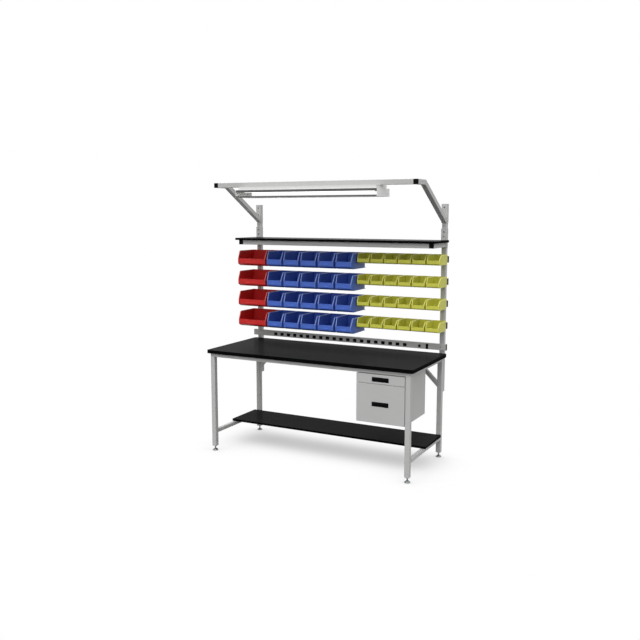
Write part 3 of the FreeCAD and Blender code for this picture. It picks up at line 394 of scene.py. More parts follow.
def pan_screw():
    """A low dome with a cross recess: the recess's rings swell four times in a turn as a power of the cosine
    of twice the angle."""
    angle = np.linspace(0, 2 * np.pi, 32, endpoint=False)[None, :]
    outer = np.array([(0, 0), (5, 0), (5, 0.8), (4.7, 1.6), (4.0, 2.15), (3.0, 2.4)])
    cross = 0.5 + 1.9 * np.abs(np.cos(2 * angle)) ** 3
    radius = np.concatenate([outer[:, :1] + 0 * angle, cross, 0.8 * cross, 0 * angle])
    height = np.concatenate([outer[:, 1:], [[2.5], [1.2], [1.0]]])
    return turned(radius, height, angle)


bolt_shape = button_bolt()
screw_shape = pan_screw()
bolts = []
screws = []
for x in (-upright_x, upright_x):
    bolts += [front_facing(bolt_shape, x, bracket_face_y, z) for z in bracket_bolt_z]
    screws += [front_facing(screw_shape, x, bin_rail_back_y, z) for z in bin_rail_z]
    screws.append(front_facing(screw_shape, x, power_rail_face_y, power_rail_z))
add_piece("bracket_bolts", bolts, zinc_plate, "bench", ["frame_bolts"])
add_piece("rail_screws", screws, zinc_plate, "bench")


# Cross rails: four folded steel channels, open at the top for the bin hooks, and a box section below them
# for the outlets, all coated grey. Black plastic caps are pushed into their ends.
rail_end_x = 897.0
rail_middle_y = 343.5
rail_half_depth = 12.5
rail_half_height = 25.0
rail_cap_corner = 1.5
rail_cap_thickness = 3.0
dress(powder_coat, "bin_rails", "power_rail")

# Moulded polypropylene, black: dull, with the fine spark-eroded grain of its mould, drawn 1.2 mm wide.
black_deep_colour = "0b0b0c"
black_pale_colour = "141415"
black_grain_size = 0.0012
black_plastic = bpy.data.materials.new("moulded_black_polypropylene")
tree = empty_tree(black_plastic)
place = add_node(tree, "ShaderNodeTexCoord", {}, {}).outputs["Object"]
grain = add_node(tree, "ShaderNodeTexNoise", {"Scale": 1 / black_grain_size, "Detail": 2.0},
                 {"Vector": place})
colour = add_node(tree, "ShaderNodeMix",
                  {"data_type": "RGBA", 6: linear(black_deep_colour), 7: linear(black_pale_colour)},
                  {0: grain.outputs["Fac"]})
gloss = add_node(tree, "ShaderNodeMapRange", {"To Min": 0.42, "To Max": 0.6}, {"Value": grain.outputs["Fac"]})
bump = add_node(tree, "ShaderNodeBump", {"Strength": 0.15, "Distance": 0.0002},
                {"Height": grain.outputs["Fac"]})
plastic = add_node(tree, "ShaderNodeBsdfPrincipled", {"Specular IOR Level": 0.03},
                   {"Base Color": colour.outputs[2], "Roughness": gloss.outputs[0],
                    "Normal": bump.outputs[0]})
add_node(tree, "ShaderNodeOutputMaterial", {}, {"Surface": plastic.outputs[0]})


def stacked_loops(half_width, half_height, corner, height, shift=0.0, steps=5):
    """A surface of rounded rectangles, one to a row, each with its own half sizes, corner radius, height and
    shift up the page. A loop is four quarter circles about centres one radius in from the corners."""
    values = np.broadcast_arrays(half_width, half_height, corner, height, shift)
    half_width, half_height, corner, height, shift = (np.asarray(value, float)[:, None] for value in values)
    corner = np.minimum(corner, np.minimum(half_width, half_height))
    quarter = np.repeat(np.arange(4), steps)
    angle = (quarter + np.tile(np.linspace(0, 1, steps), 4)) * np.pi / 2
    right = np.array([1, -1, -1, 1])[quarter]
    top = np.array([1, 1, -1, -1])[quarter]
    across = right * (half_width - corner) + corner * np.cos(angle)
    up = top * (half_height - corner) + corner * np.sin(angle) + shift
    return np.stack([across, up, height + 0 * across], axis=-1)


def crowned_cap(half_width, half_height, corner, thickness):
    """A cap's visible plate: a straight edge, a rounded shoulder and a face that rises a little towards the
    middle, as loops drawn in step by step until they meet."""
    least = min(half_width, half_height)
    inset = np.array([least, 0, 0, 0.4, 1.2, 0.3 * least, 0.65 * least, least])
    height = thickness * np.array([0, 0, 0.62, 0.8, 0.9, 0.96, 0.99, 1.0])
    return stacked_loops(half_width - inset, half_height - inset, np.maximum(corner - inset, 0.2), height)


rail_cap_shape = crowned_cap(rail_half_depth, rail_half_height, rail_cap_corner, rail_cap_thickness)
rail_caps = []
for side in (-1, 1):
    for z in (power_rail_z, *bin_rail_z):
        rail_caps.append(np.stack([side * (rail_end_x + rail_cap_shape[..., 2]),
                                   rail_middle_y + rail_cap_shape[..., 0],
                                   z + rail_cap_shape[..., 1]], axis=-1))
add_piece("cross_rail_end_caps", rail_caps, black_plastic, "bench", ["cross_rail_caps"])


# Outlets: black appliance outlets snapped into the power rail's face, each with a flange, a sunken panel and
# three slots for the contacts. Moulded plastic.
electrics_z = 899.0
outlet_count = 20
outlet_pitch = 64.3
first_outlet_x = -672.0
outlet_x = first_outlet_x + outlet_pitch * np.arange(outlet_count)
outlet_half = (16.0, 13.0)
outlet_edge = 0.5
outlet_proud = 1.2
panel_half = (12.5, 9.5)
panel_sunk = 0.8
outlet_body_half = (13.8, 10.8)
outlet_body_depth = 16.0
slot_half = (1.5, 3.0)
slot_sunk = 9.0
slot_places = ((-7.0, -3.0), (0.0, 3.0), (7.0, -3.0))


def outlet_faces():
    """Front and back as heights over one grid of lines, close together where a height steps. The front is
    nothing at the border, the flange inside it, less over the panel and much less over the slots. The back is
    nothing under the flange and the body's depth inside it, and both meet at the border, whose corners are
    cut off."""
    step = 0.15

    def lines(half, panel, body, slots):
        edges = np.array([-panel, panel, -body, body, *slots])
        border = [-half, outlet_edge - half, half - outlet_edge, half]
        return np.unique(np.concatenate([edges - step, edges + step, border]).round(4))

    slots_across = [x + sign * slot_half[0] for x, up in slot_places for sign in (-1, 1)]
    slots_up = [up + sign * slot_half[1] for x, up in slot_places for sign in (-1, 1)]
    across, up = np.meshgrid(lines(outlet_half[0], panel_half[0], outlet_body_half[0], slots_across),
                             lines(outlet_half[1], panel_half[1], outlet_body_half[1], slots_up))
    across[[0, 0, -1, -1], [0, -1, 0, -1]] = across[0, [1, -2, 1, -2]]
    on_flange = (np.abs(across) < outlet_half[0]) & (np.abs(up) < outlet_half[1])
    on_panel = (np.abs(across) < panel_half[0]) & (np.abs(up) < panel_half[1])
    height = outlet_proud * on_flange - panel_sunk * on_panel
    for slot_x, slot_up in slot_places:
        in_slot = (np.abs(across - slot_x) < slot_half[0]) & (np.abs(up - slot_up) < slot_half[1])
        height = height - slot_sunk * in_slot
    in_body = (np.abs(across) < outlet_body_half[0]) & (np.abs(up) < outlet_body_half[1])
    return [np.stack([across, up, side], axis=-1) for side in (height, -outlet_body_depth * in_body)]


outlet_shapes = outlet_faces()
outlets = [front_facing(shape, x, power_rail_face_y, electrics_z)
           for x in outlet_x for shape in outlet_shapes]
add_piece("appliance_outlets", outlets, black_plastic, "bench", ["power_outlets"],
          wrap=False)


# Earth point: a round insulating boss with a press stud for the wrist strap, screwed to the power rail.
# Boss and stud are one turned shape in black moulded plastic.
earth_x = 676.0
earth_rings = np.array([(0, 0), (11, 0), (11, 2.8), (10.6, 3.6), (9.6, 4.0), (4.8, 4.0), (4.0, 4.5),
                        (4.0, 5.6), (4.7, 6.3), (5.0, 7.2), (4.6, 8.2), (3.6, 8.9), (2.6, 9.0), (2.2, 8.6),
                        (0, 8.4)])
around = np.linspace(0, 2 * np.pi, 40, endpoint=False)[None, :]
earth_shape = turned(earth_rings[:, :1], earth_rings[:, 1:], around)
add_piece("earth_point", [front_facing(earth_shape, earth_x, power_rail_face_y, electrics_z)], black_plastic,
          "bench", ["earth_stud"])


# Mains switch: a black bezel and well snapped into the power rail, and a rocker that tips in it on a pin.
# Both are moulded plastic; the rocker's face is hollowed so that a finger finds either end.
switch_x = 740.0
switch_rings = np.array([(0, 10, 0, -17), (7.3, 17.3, 0.8, -17), (7.3, 17.3, 0.8, 0), (10, 20, 2, 0),
                         (10, 20, 2, 1.0), (9.6, 19.6, 1.8, 1.5), (6.4, 16.4, 1, 1.5), (5.8, 15.8, 0.6, 1.0),
                         (5.8, 15.8, 0.6, -14), (0, 10, 0, -14)])
switch_shape = stacked_loops(*switch_rings.T)
add_piece("switch_bezel", [front_facing(switch_shape, switch_x, power_rail_face_y, electrics_z)],
          black_plastic, "bench", ["switch_housing"])

rocker_pivot_y = 337.0
rocker_tilt = math.radians(8)
rocker_half_width = 5.3
rocker_half_height = 14.2
rocker_face_y = 327.0
rocker_hollow = 2.0
rocker_back_y = 341.0
rocker_back_half_height = 11.2
rocker_back_arch = 2.0


def switch_rocker():
    """A side outline carried across the switch and drawn in a little at both ends. The front of the outline
    is a parabola, deepest in the middle, and its back is a shallow arch; all is turned about the pin."""
    z = np.linspace(-1, 1, 15)
    front = np.stack([rocker_face_y + rocker_hollow * (1 - z ** 2), rocker_half_height * z], axis=-1)
    back = np.stack([rocker_back_y - rocker_back_arch * z ** 2, -rocker_back_half_height * z], axis=-1)
    outline = np.concatenate([front, back])
    middle = outline.mean(axis=0)
    across = np.array([-1, -1, -0.93, 0.93, 1, 1])[:, None] * rocker_half_width
    share = np.array([0, 0.95, 1, 1, 0.95, 0])[:, None, None]
    loops = middle + share * (outline - middle)
    y = loops[..., 0] - rocker_pivot_y
    up = loops[..., 1]
    tipped_y = rocker_pivot_y + y * math.cos(rocker_tilt) - up * math.sin(rocker_tilt)
    tipped_z = electrics_z + y * math.sin(rocker_tilt) + up * math.cos(rocker_tilt)
    return np.stack([switch_x + across + 0 * y, tipped_y, tipped_z], axis=-1)


add_piece("switch_rocker_key", [switch_rocker()], black_plastic, "rocker", ["switch_rocker"])


# Arm end plugs: square black caps pushed into the open front ends of the shelf arms and the light arms. They
# are moulded plastic with a rounded shoulder and a face that rises a little.
arm_half = 19.0
arm_corner = 3.0
arm_plug_thickness = 4.0
shelf_arm_end = (72.0, 1713.0)
light_arm_end = (-278.0, 2179.0)
plug_shape = crowned_cap(arm_half, arm_half, arm_corner, arm_plug_thickness)
plugs = [front_facing(plug_shape, x, y, z) for x in (-upright_x, upright_x)
         for y, z in (shelf_arm_end, light_arm_end)]
add_piece("arm_end_plugs", plugs, black_plastic, "bench", ["arm_end_caps"])


# Lamp: folded sheet steel under the light rail. A pale gear tray is on top, a dark grey reflector below it,
# and pale end cheeks and dark grey bottom rails hold an acrylic diffuser. The cheeks are pale enamel, drawn
# paler than the tray as painted light for the light that falls on them.
lamp_tray_colour = "d4d4d3"
# Painted light: the cheeks are paler than the tray for the light that falls on them.
cheek_colour_with_painted_light = "f2f2f1"
lamp_reflector_colour = "555556"
lamp_rail_colour = "5c5c5d"
lamp_inside_colour = "f2f2f0"
enamel_peel_size = 0.005
lamp_cheek_x = 0.5979
lamp_middle_y = -0.263
lamp_skin_y = 0.1144


def enamel(name, outside_colour, inside_colour):
    """Stove enamel on steel sheet: smooth and satin, with a faint peel 5 mm wide, pale on the end cheeks with
    painted light that makes them paler than the tray, and of one colour on the outer skin and another inside
    the lamp. The three are told apart by the distance from the lamp's middle."""
    finish = bpy.data.materials.new(name)
    tree = empty_tree(finish)
    place = add_node(tree, "ShaderNodeTexCoord", {}, {}).outputs["Object"]
    parts = add_node(tree, "ShaderNodeSeparateXYZ", {}, {0: place}).outputs
    along = add_node(tree, "ShaderNodeMath", {"operation": "ABSOLUTE"}, {0: parts["X"]})
    on_cheek = add_node(tree, "ShaderNodeMath", {"operation": "GREATER_THAN", 1: lamp_cheek_x},
                        {0: along.outputs[0]})
    across = add_node(tree, "ShaderNodeMath", {"operation": "SUBTRACT", 1: lamp_middle_y}, {0: parts["Y"]})
    from_middle = add_node(tree, "ShaderNodeMath", {"operation": "ABSOLUTE"}, {0: across.outputs[0]})
    on_skin = add_node(tree, "ShaderNodeMath", {"operation": "GREATER_THAN", 1: lamp_skin_y},
                       {0: from_middle.outputs[0]})
    body = add_node(tree, "ShaderNodeMix",
                    {"data_type": "RGBA", 6: linear(inside_colour), 7: linear(outside_colour)},
                    {0: on_skin.outputs[0]})
    colour = add_node(tree, "ShaderNodeMix", {"data_type": "RGBA", 7: linear(cheek_colour_with_painted_light)},
                      {0: on_cheek.outputs[0], 6: body.outputs[2]})
    peel = add_node(tree, "ShaderNodeTexNoise", {"Scale": 1 / enamel_peel_size, "Detail": 1.0},
                    {"Vector": place})
    gloss = add_node(tree, "ShaderNodeMapRange", {"To Min": 0.34, "To Max": 0.44},
                     {"Value": peel.outputs["Fac"]})
    bump = add_node(tree, "ShaderNodeBump", {"Strength": 0.08, "Distance": 0.0003},
                    {"Height": peel.outputs["Fac"]})
    paint = add_node(tree, "ShaderNodeBsdfPrincipled", {"Specular IOR Level": 0.35},
                     {"Base Color": colour.outputs[2], "Roughness": gloss.outputs[0],
                      "Normal": bump.outputs[0]})
    add_node(tree, "ShaderNodeOutputMaterial", {}, {"Surface": paint.outputs[0]})
    return finish


dress(enamel("grey_enamelled_steel", lamp_reflector_colour, lamp_inside_colour), "lamp_reflector")
dress(enamel("dark_enamelled_steel", lamp_rail_colour, lamp_inside_colour), "lamp_frame")
dress(enamel("pale_enamelled_steel", lamp_tray_colour, lamp_tray_colour), "lamp_tray")

# Opal acrylic with a moulded prism pattern: it glows softly with the light behind it, and small pyramids in
# rows 8 mm apart break up what is seen through it. At scale 1 a wave texture repeats every tau / 20.
acrylic_deep_colour = "dcdcd8"
acrylic_pale_colour = "f0f0ee"
prism_pitch = 0.008
plain_wave_length = math.tau / 20
wave_scale = plain_wave_length / prism_pitch
acrylic = bpy.data.materials.new("prismatic_opal_acrylic")
tree = empty_tree(acrylic)
place = add_node(tree, "ShaderNodeTexCoord", {}, {}).outputs["Object"]
ridges = [add_node(tree, "ShaderNodeTexWave", {"bands_direction": axis, "Scale": wave_scale},
                   {"Vector": place}) for axis in ("X", "Y")]
pyramids = add_node(tree, "ShaderNodeMath", {"operation": "MULTIPLY"},
                    {0: ridges[0].outputs["Fac"], 1: ridges[1].outputs["Fac"]})
colour = add_node(tree, "ShaderNodeMix",
                  {"data_type": "RGBA", 6: linear(acrylic_deep_colour), 7: linear(acrylic_pale_colour)},
                  {0: pyramids.outputs[0]})
bump = add_node(tree, "ShaderNodeBump", {"Strength": 0.6, "Distance": 0.001}, {"Height": pyramids.outputs[0]})
opal = add_node(tree, "ShaderNodeBsdfPrincipled", {"Roughness": 0.3, "IOR": 1.49, "Transmission Weight": 0.4},
                {"Base Color": colour.outputs[2], "Normal": bump.outputs[0]})
add_node(tree, "ShaderNodeOutputMaterial", {}, {"Surface": opal.outputs[0]})
dress(acrylic, "lamp_diffuser")


# Lamp tubes: two straight fluorescent tubes in white plastic holders under the reflector. The glass is
# coated white inside, and a white plastic cap that grips the holder closes each end.
tube_half_length = 568.0
tube_glass_radius = 7.6
tube_cap_radius = 8.0
tube_cap_length = 13.0
tube_ys = (-315.0, -211.0)
tube_z = 2123.0


def along_bench(shape, y, z):
    """Turns a shape drawn about its height so that its height runs along the bench."""
    return np.stack([shape[..., 2], y + shape[..., 0], z + shape[..., 1]], axis=-1)


glass_end = tube_half_length - tube_cap_length
glass_half = np.array([(0, glass_end), (7.0, glass_end), (tube_glass_radius, glass_end - 1.5),
                       (tube_glass_radius, 0)])
glass_rings = np.concatenate([glass_half * (1, -1), glass_half[-2::-1]])
cap_rings = np.array([(0, 0), (7.4, 0), (tube_cap_radius, 0.6), (tube_cap_radius, 11.5), (7.2, 12.6),
                      (3, tube_cap_length), (0, tube_cap_length)])
glass_shape = turned(glass_rings[:, :1], glass_rings[:, 1:], around)
cap_starts = (-tube_half_length, tube_half_length - tube_cap_length)
glass_tubes = [along_bench(glass_shape, y, tube_z) for y in tube_ys]
tube_caps = [along_bench(turned(cap_rings[:, :1], start + cap_rings[:, 1:], around), y, tube_z)
             for y in tube_ys for start in cap_starts]

# Phosphor-coated glass: white from the powder inside, glossy outside and slightly uneven along the tube. The
# tube is not lit; its glow is painted light.
powder_deep_colour = "eeeeea"
powder_pale_colour = "f6f6f4"
powder_drift_size = 0.03
# Painted glow: the unlit tubes give off a little light.
painted_tube_glow = 1.2
glass = bpy.data.materials.new("phosphor_coated_glass")
tree = empty_tree(glass)
place = add_node(tree, "ShaderNodeTexCoord", {}, {}).outputs["Object"]
powder = add_node(tree, "ShaderNodeTexNoise", {"Scale": 1 / powder_drift_size, "Detail": 3.0},
                  {"Vector": place})
colour = add_node(tree, "ShaderNodeMix",
                  {"data_type": "RGBA", 6: linear(powder_deep_colour), 7: linear(powder_pale_colour)},
                  {0: powder.outputs["Fac"]})
coated = add_node(tree, "ShaderNodeBsdfPrincipled",
                  {"Roughness": 0.12, "IOR": 1.5, "Emission Color": linear("ffffff"),
                   "Emission Strength": painted_tube_glow}, {"Base Color": colour.outputs[2]})
add_node(tree, "ShaderNodeOutputMaterial", {}, {"Surface": coated.outputs[0]})
add_piece("lamp_glass_tubes", glass_tubes, glass, "bench", ["lamp_tubes"])

# Moulded polycarbonate, white: smooth and slightly glossy, with a fine grain drawn 1.5 mm wide.
white_deep_colour = "e0dfda"
white_pale_colour = "e8e7e3"
white_grain_size = 0.0015
white_plastic = bpy.data.materials.new("moulded_white_polycarbonate")
tree = empty_tree(white_plastic)
place = add_node(tree, "ShaderNodeTexCoord", {}, {}).outputs["Object"]
grain = add_node(tree, "ShaderNodeTexNoise", {"Scale": 1 / white_grain_size, "Detail": 2.0},
                 {"Vector": place})
colour = add_node(tree, "ShaderNodeMix",
                  {"data_type": "RGBA", 6: linear(white_deep_colour), 7: linear(white_pale_colour)},
                  {0: grain.outputs["Fac"]})
bump = add_node(tree, "ShaderNodeBump", {"Strength": 0.1, "Distance": 0.0002},
                {"Height": grain.outputs["Fac"]})
plastic = add_node(tree, "ShaderNodeBsdfPrincipled", {"Roughness": 0.35},
                   {"Base Color": colour.outputs[2], "Normal": bump.outputs[0]})
add_node(tree, "ShaderNodeOutputMaterial", {}, {"Surface": plastic.outputs[0]})
dress(white_plastic, "lamp_holders")
add_piece("lamp_tube_caps", tube_caps, white_plastic, "bench")


# Drawer unit: a folded steel case on two hangers under the worktop, with two drawers on telescopic runners.
# Case, boxes and fronts are coated like the frame, and the runners are zinc-plated.
dress(powder_coat, "drawer_cabinet", "cabinet_hangers", "upper_drawer_box", "lower_drawer_box",
      "upper_drawer_front", "lower_drawer_front")
dress(zinc_plate, "fixed_runners", "upper_middle_runners", "lower_middle_runners", "upper_inner_runners",
      "lower_inner_runners")


# Drawer pulls: black moulded cups let into the drawer fronts, with a flange round the hole and a lip at the
# top that the fingers hook behind.
pull_x = 638.5
drawer_face_y = -374.0
pull_z = {"upper": 750.0, "lower": 564.0}
pull_rings = np.array([(0, 9, 0, -15, 0), (61, 11, 3, -15, 0), (63.8, 13.8, 3, -12, 0), (63.8, 13.8, 3, 0, 0),
                       (67, 17, 3, 0, 0), (67, 17, 3, 1.2, 0), (66.7, 16.7, 2.8, 1.7, 0),
                       (66, 16, 2.5, 2.0, 0), (63, 8, 2.2, 2.0, -5), (62.2, 7.2, 1.8, 1.7, -5),
                       (61.8, 6.8, 1.5, 1.0, -5), (61.8, 6.8, 1.5, 0, -5), (61.8, 11.8, 1.5, -0.2, 0),
                       (61.8, 11.8, 3, -10, 0), (59, 9, 3, -13, 0), (0, 9, 0, -13, 0)])
pull_shape = stacked_loops(*pull_rings.T)
for drawer, z in pull_z.items():
    add_piece(f"{drawer}_pull_cup", [front_facing(pull_shape, pull_x, drawer_face_y, z)], black_plastic,
              f"{drawer}_drawer", [f"{drawer}_drawer_pull"])


# Bins: open-fronted stacking bins, injection-moulded in coloured plastic. A thick rim stiffens the top, the
# sloping sides and both ends of the lip, the sides close in towards the front, and a hook hangs on the rail.
bin_back_y = 330.7
bin_top = 40.0
bin_wall = 2.5
bin_rim_out = 2.0
bin_rim_in = 2.5
bin_rim_band = 7.0
bin_rim_face = 8.0
bin_lip_rim = 0.8
bin_lip_set_back = 2.0
bin_front_round = 2.0
bin_back_round = 3.0
bin_floor_round = 2.0
bin_inside_round = 3.0
bin_edge_round = 1.2
bin_rim_bend = 4.0
bin_bevel_bend = 0.15
# Painted highlight: the upright ends beside the lip take this share of the paler rim colour.
bin_end_painted_highlight = 0.25
label_share = 0.22
label_rail = 3.0
label_raise = 0.8
bin_drift_size = 0.06
bin_grain_size = 0.0015


def bin_shell(width, front_closing, height, base, bevel, reach, shoulder, top_depth, lip):
    """The whole wall of a bin as one closed surface. Going round, a rounded rectangle in plan whose width
    shrinks evenly from the shoulder to the front. Going across, from the middle of the underside up the
    outside, over the rim, down the inside and back to the middle of the floor. The rim's height is the smooth
    minimum of the level top and the line that slopes down to the lip. The front is upright above the bevel,
    and below it runs back by the smooth maximum of nothing and the part of the bevel's height that is left.
    Inside, a wall is cut off where it meets the next, so that a thick wall doesn't cross it in the corner.
    A second grid marks the rim's points with 1, and its upright ends beside the lip with less, for a
    painted highlight in the paler rim colour."""
    floor_z = bin_top - height
    lip_z = floor_z + lip
    left = bin_rim_out
    right = width - bin_rim_out
    middle = width / 2
    turn = np.linspace(0, np.pi / 2, 6)[1:-1]
    half_step = 0.3
    slope_lead = 20.0

    end_y = reach - bin_rim_face
    slope_y = np.linspace(top_depth - slope_lead, reach - bin_front_round, 14)
    side_y = -np.unique(np.concatenate([np.linspace(bin_back_round, shoulder, 4),
                                        [end_y - half_step, end_y + half_step], slope_y]))
    label_half = label_share * width
    band_start = middle - bin_rim_face
    steps = np.array([label_half, label_half - label_rail, band_start])
    steps = np.concatenate([steps - half_step, steps + half_step])
    front_x = np.sort(np.concatenate([middle - steps, middle + steps, [middle],
                                      [left + bin_front_round, right - bin_front_round]]))
    back_x = np.linspace(right - bin_back_round, left + bin_back_round, 4)

    def arc(centre_x, centre_y, radius, start):
        angle = start + turn
        return (centre_x + radius * np.cos(angle), centre_y + radius * np.sin(angle),
                np.cos(angle), np.sin(angle))

    def straight(x, y, out_x, out_y):
        return tuple(np.broadcast_arrays(x, y, np.float64(out_x), np.float64(out_y)))

    stretches = [
        straight(left, side_y, -1, 0),
        arc(left + bin_front_round, bin_front_round - reach, bin_front_round, np.pi),
        straight(front_x, -reach, 0, -1),
        arc(right - bin_front_round, bin_front_round - reach, bin_front_round, 1.5 * np.pi),
        straight(right, side_y[::-1], 1, 0),
        arc(right - bin_back_round, -bin_back_round, bin_back_round, 0),
        straight(back_x, 0, 0, 1),
        arc(left + bin_back_round, -bin_back_round, bin_back_round, 0.5 * np.pi),
    ]
    plan_x, plan_y, out_x, out_y = (np.concatenate(parts) for parts in zip(*stretches))
    from_middle = np.abs(plan_x - middle)
    on_side = out_x ** 2
    on_front = np.maximum(-out_y, 0) ** 2
    on_flat_front = on_front > 0.99
    on_lip = on_flat_front & (from_middle < band_start)
    set_back = bin_lip_set_back * on_lip
    end_raise = bin_rim_out * on_side * (plan_y < -end_y)
    on_end = ~on_lip & (plan_y < -end_y)

    steepness = (bin_top - lip_z) / (reach - top_depth)
    sloped = lip_z + (reach + plan_y) * steepness
    apart = np.hypot(bin_top - sloped, bin_rim_bend)
    rim_z = (bin_top + sloped - apart) / 2
    slope = steepness * (1 + (bin_top - sloped) / apart) / 2
    stretch = np.hypot(1, slope * out_x)
    band = bin_rim_band * stretch * (0.5 + 0.5 * on_side)
    edge = bin_edge_round * stretch
    rim_out = bin_rim_out * on_side + bin_lip_rim * on_front
    rim_in = bin_rim_in * on_side + bin_lip_rim * on_front
    thickness = rim_out + bin_wall + rim_in

    share = []
    offset = []
    level = []
    marks = []

    def add_row(drawn_in, out, z, mark=0.0):
        share.append(drawn_in)
        offset.append(out - set_back)
        level.append(z + 0 * plan_x)
        marks.append(mark + 0 * plan_x)

    flat_share = 0.96
    add_row(0, 0, floor_z)
    add_row(flat_share, -bin_floor_round, floor_z)
    for angle in np.linspace(0, np.pi / 2, 5):
        add_row(1, -bin_floor_round * (1 - np.sin(angle)), floor_z + bin_floor_round * (1 - np.cos(angle)))
    for part in (0.6, 0.8, 0.92, 1.0):
        add_row(1, 0, floor_z + part * bevel)
    end_highlight_mark = bin_end_painted_highlight * on_end
    wall_start = 1.4
    for part in (1.02, 1.08, 1.2, wall_start):
        add_row(1, end_raise, floor_z + part * bevel, end_highlight_mark)
    wall_low = floor_z + wall_start * bevel
    wall_high = rim_z - band
    in_label = on_flat_front & (from_middle < label_half)
    in_window = from_middle < label_half - label_rail
    label_low = 0.07
    window_low = 0.18
    label_high = 0.92
    for part in (0.05, 0.09, 0.17, 0.2, 0.55, 0.9, 0.94):
        raised = in_label & (label_low < part < label_high) & ~(in_window & (part > window_low))
        add_row(1, label_raise * raised + end_raise, wall_low + part * (wall_high - wall_low), end_highlight_mark)
    # Painted highlight: the rim's points are marked 1 and drawn in the paler rim colour.
    rim_highlight_mark = 1.0 * ~on_lip
    add_row(1, end_raise, wall_high, end_highlight_mark)
    flare_low = rim_z - 0.94 * band
    flare_high = rim_z - 0.88 * band
    flare_share = 0.35
    add_row(1, np.maximum(flare_share * rim_out, end_raise), flare_low, rim_highlight_mark)
    add_row(1, rim_out, flare_high, rim_highlight_mark)
    rim_section = ((0, 1), (0.07, 0.35), (0.2, 0.08), (0.35, 0), (0.65, 0), (0.8, 0.08), (0.93, 0.35), (1, 1))
    for across, down in rim_section:
        add_row(1, rim_out - across * thickness, rim_z - down * edge, rim_highlight_mark)
    add_row(1, -bin_wall - rim_in, flare_high, rim_highlight_mark)
    add_row(1, -bin_wall - flare_share * rim_in, flare_low)
    add_row(1, -bin_wall, wall_high)
    for part in (wall_start, 1.1, 0.75):
        add_row(1, -bin_wall, floor_z + part * bevel)
    inside_floor = floor_z + bin_wall
    for angle in np.linspace(np.pi / 2, 0, 5):
        add_row(1, -bin_wall - bin_inside_round * (1 - np.sin(angle)),
                inside_floor + bin_inside_round * (1 - np.cos(angle)))
    add_row(flat_share, -bin_wall - bin_inside_round, inside_floor)
    add_row(0, 0, inside_floor)

    share = np.array(share)[:, None]
    offset = np.array(offset)
    z = np.array(level)
    side_start, front_start, back_start = (sum(len(parts[0]) for parts in stretches[:k]) for k in (0, 2, 6))
    inside = offset.max(axis=1, keepdims=True) < 0
    side_inset, front_inset, back_inset = (np.where(inside, -offset[:, k:k + 1], -bin_rim_out)
                                           for k in (side_start, front_start, back_start))
    flat_x = np.clip(plan_x + out_x * offset, left + side_inset, right - side_inset)
    flat_y = np.clip(plan_y + out_y * offset, front_inset - reach, -back_inset)
    left_over = 1 - (z - floor_z) / bevel
    run_back = (reach - base) * (left_over + np.hypot(left_over, bin_bevel_bend)) / 2
    forward = np.clip((-2 * plan_y - reach) / (reach - 2 * bin_front_round), 0, 1)
    y = flat_y + run_back * forward
    closing = front_closing * np.clip((-y - shoulder) / (reach - shoulder), 0, 1)
    x = middle + (flat_x - middle) * (1 - closing / middle)
    points = np.stack([middle + share * (x - middle), -base / 2 + share * (y + base / 2), z], axis=-1)
    return points, np.array(marks)


def carried_across(outline, low, high):
    """A closed side outline of (y, z) points carried along the bench, with both ends drawn to a point."""
    middle = outline.mean(axis=0)
    loops = np.stack([0 * outline + middle, outline, outline, 0 * outline + middle])
    x = np.array([low, low, high, high])[:, None] + 0 * loops[..., 0]
    return np.stack([x, loops[..., 0], loops[..., 1]], axis=-1)


def whole_bin(width, front_closing, foot_reach, sizes):
    """A bin's shell, the hook that drops behind the rail's front wall and, on large bins, the rear foot, and
    the painted highlight marks of all three; hook and foot have none of the rim's painted highlight."""
    hook = np.array([(-1.2, 20.3), (2.6, 20.3), (2.6, 8.6), (3.2, 8.3), (4.5, 8.3), (5.1, 8.9), (5.1, 21.6),
                     (4.7, 22.5), (3.9, 22.8), (-1.2, 22.8)])
    hook_inset = 16.0
    shell, rim = bin_shell(width, front_closing, **sizes)
    grids = [shell, carried_across(hook, hook_inset, width - hook_inset)]
    if foot_reach:
        foot = np.array([(-4, 0.2), (foot_reach - 1.2, 0), (foot_reach - 0.3, 0.4), (foot_reach, 1.2),
                         (foot_reach, 1.9), (foot_reach - 0.4, 2.7), (foot_reach - 1.2, 3), (-2, 3)])
        floor_z = bin_top - sizes["height"]
        grids.append(carried_across(foot + (0, floor_z), bin_rim_out, width - bin_rim_out))
    return grids, [rim] + [np.zeros(grid.shape[:2]) for grid in grids[1:]]


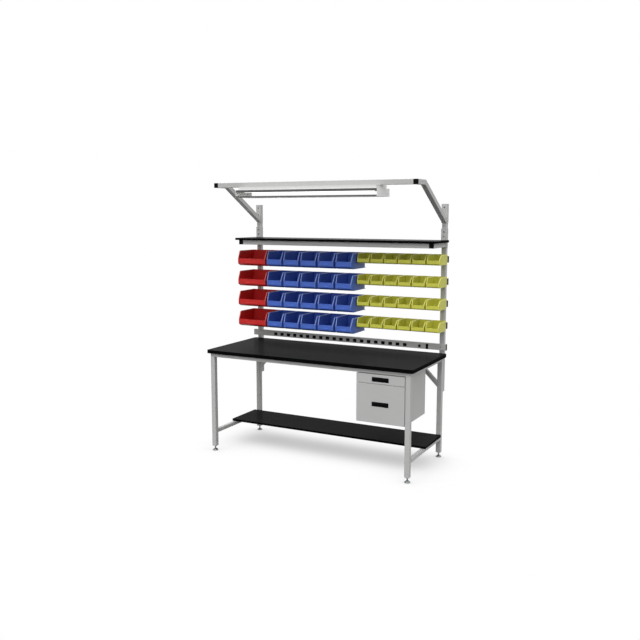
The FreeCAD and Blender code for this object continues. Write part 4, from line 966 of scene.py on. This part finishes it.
def moulded_plastic(name, colour_deep, colour_pale, rim_highlight_colour):
    """Polypropylene, injection-moulded in one colour: satin, with a fine mould grain drawn 1.5 mm wide and
    slow drifts of shade, 60 mm wide, where the melt cooled unevenly. The rim is drawn paler as a painted
    highlight."""
    finish = bpy.data.materials.new(name)
    tree = empty_tree(finish)
    place = add_node(tree, "ShaderNodeTexCoord", {}, {}).outputs["Object"]
    drift = add_node(tree, "ShaderNodeTexNoise", {"Scale": 1 / bin_drift_size, "Detail": 3.0},
                     {"Vector": place})
    colour = add_node(tree, "ShaderNodeMix",
                      {"data_type": "RGBA", 6: linear(colour_deep), 7: linear(colour_pale)},
                      {0: drift.outputs["Fac"]})
    on_rim_highlight = add_node(tree, "ShaderNodeAttribute", {"attribute_name": "rim"}, {}).outputs["Fac"]
    colour = add_node(tree, "ShaderNodeMix", {"data_type": "RGBA", 7: linear(rim_highlight_colour)},
                      {0: on_rim_highlight, 6: colour.outputs[2]})
    grain = add_node(tree, "ShaderNodeTexNoise", {"Scale": 1 / bin_grain_size, "Detail": 2.0},
                     {"Vector": place})
    gloss = add_node(tree, "ShaderNodeMapRange", {"To Min": 0.36, "To Max": 0.5},
                     {"Value": grain.outputs["Fac"]})
    bump = add_node(tree, "ShaderNodeBump", {"Strength": 0.12, "Distance": 0.0002},
                    {"Height": grain.outputs["Fac"]})
    plastic = add_node(tree, "ShaderNodeBsdfPrincipled", {"Specular IOR Level": 0.3},
                       {"Base Color": colour.outputs[2], "Roughness": gloss.outputs[0],
                        "Normal": bump.outputs[0]})
    add_node(tree, "ShaderNodeOutputMaterial", {}, {"Surface": plastic.outputs[0]})
    return finish


large_bin = {"height": 127.0, "base": 215.0, "bevel": 16.0, "reach": 252.0, "shoulder": 190.0,
             "top_depth": 221.0, "lip": 61.0}
small_bin = {"height": 80.0, "base": 150.0, "bevel": 9.0, "reach": 180.0, "shoulder": 150.0,
             "top_depth": 152.0, "lip": 39.0}
large_foot = 16.0
bin_gap = 4.0
# Each kind: colour, word, number on a rail, left end, width, closing at the front, rear foot, sizes, colours
# (deep, pale and the painted rim highlight).
bin_kinds = [
    ("red", "bin", 1, -900.0, 282.0, 6.0, large_foot, large_bin, ("bb1f1f", "c52422", "cf5a56")),
    ("blue", "bins", 5, -614.0, 158.0, 10.0, large_foot, large_bin, ("4263bc", "4a6bc3", "7f95d4")),
    ("yellow", "bins", 6, 196.0, 113.5, 5.0, 0.0, small_bin, ("c6c64c", "cdcc54", "d8d66c")),
]
for hue, noun, count, first_left, width, front_closing, foot_reach, sizes, colours in bin_kinds:
    finish = moulded_plastic(f"moulded_{hue}_polypropylene", *colours)
    bin_grids, bin_highlight_marks = whole_bin(width, front_closing, foot_reach, sizes)
    for row, rail_z in enumerate(reversed(bin_rail_z), start=1):
        lefts = first_left + (width + bin_gap) * np.arange(count)
        hung = [grid + (left, bin_back_y, rail_z) for left in lefts for grid in bin_grids]
        add_piece(f"{hue}_{noun}_on_rail_{row}", hung, finish, f"{hue}_row_{row}",
                  [f"{hue}_{noun}_row_{row}"], marks=bin_highlight_marks * count)
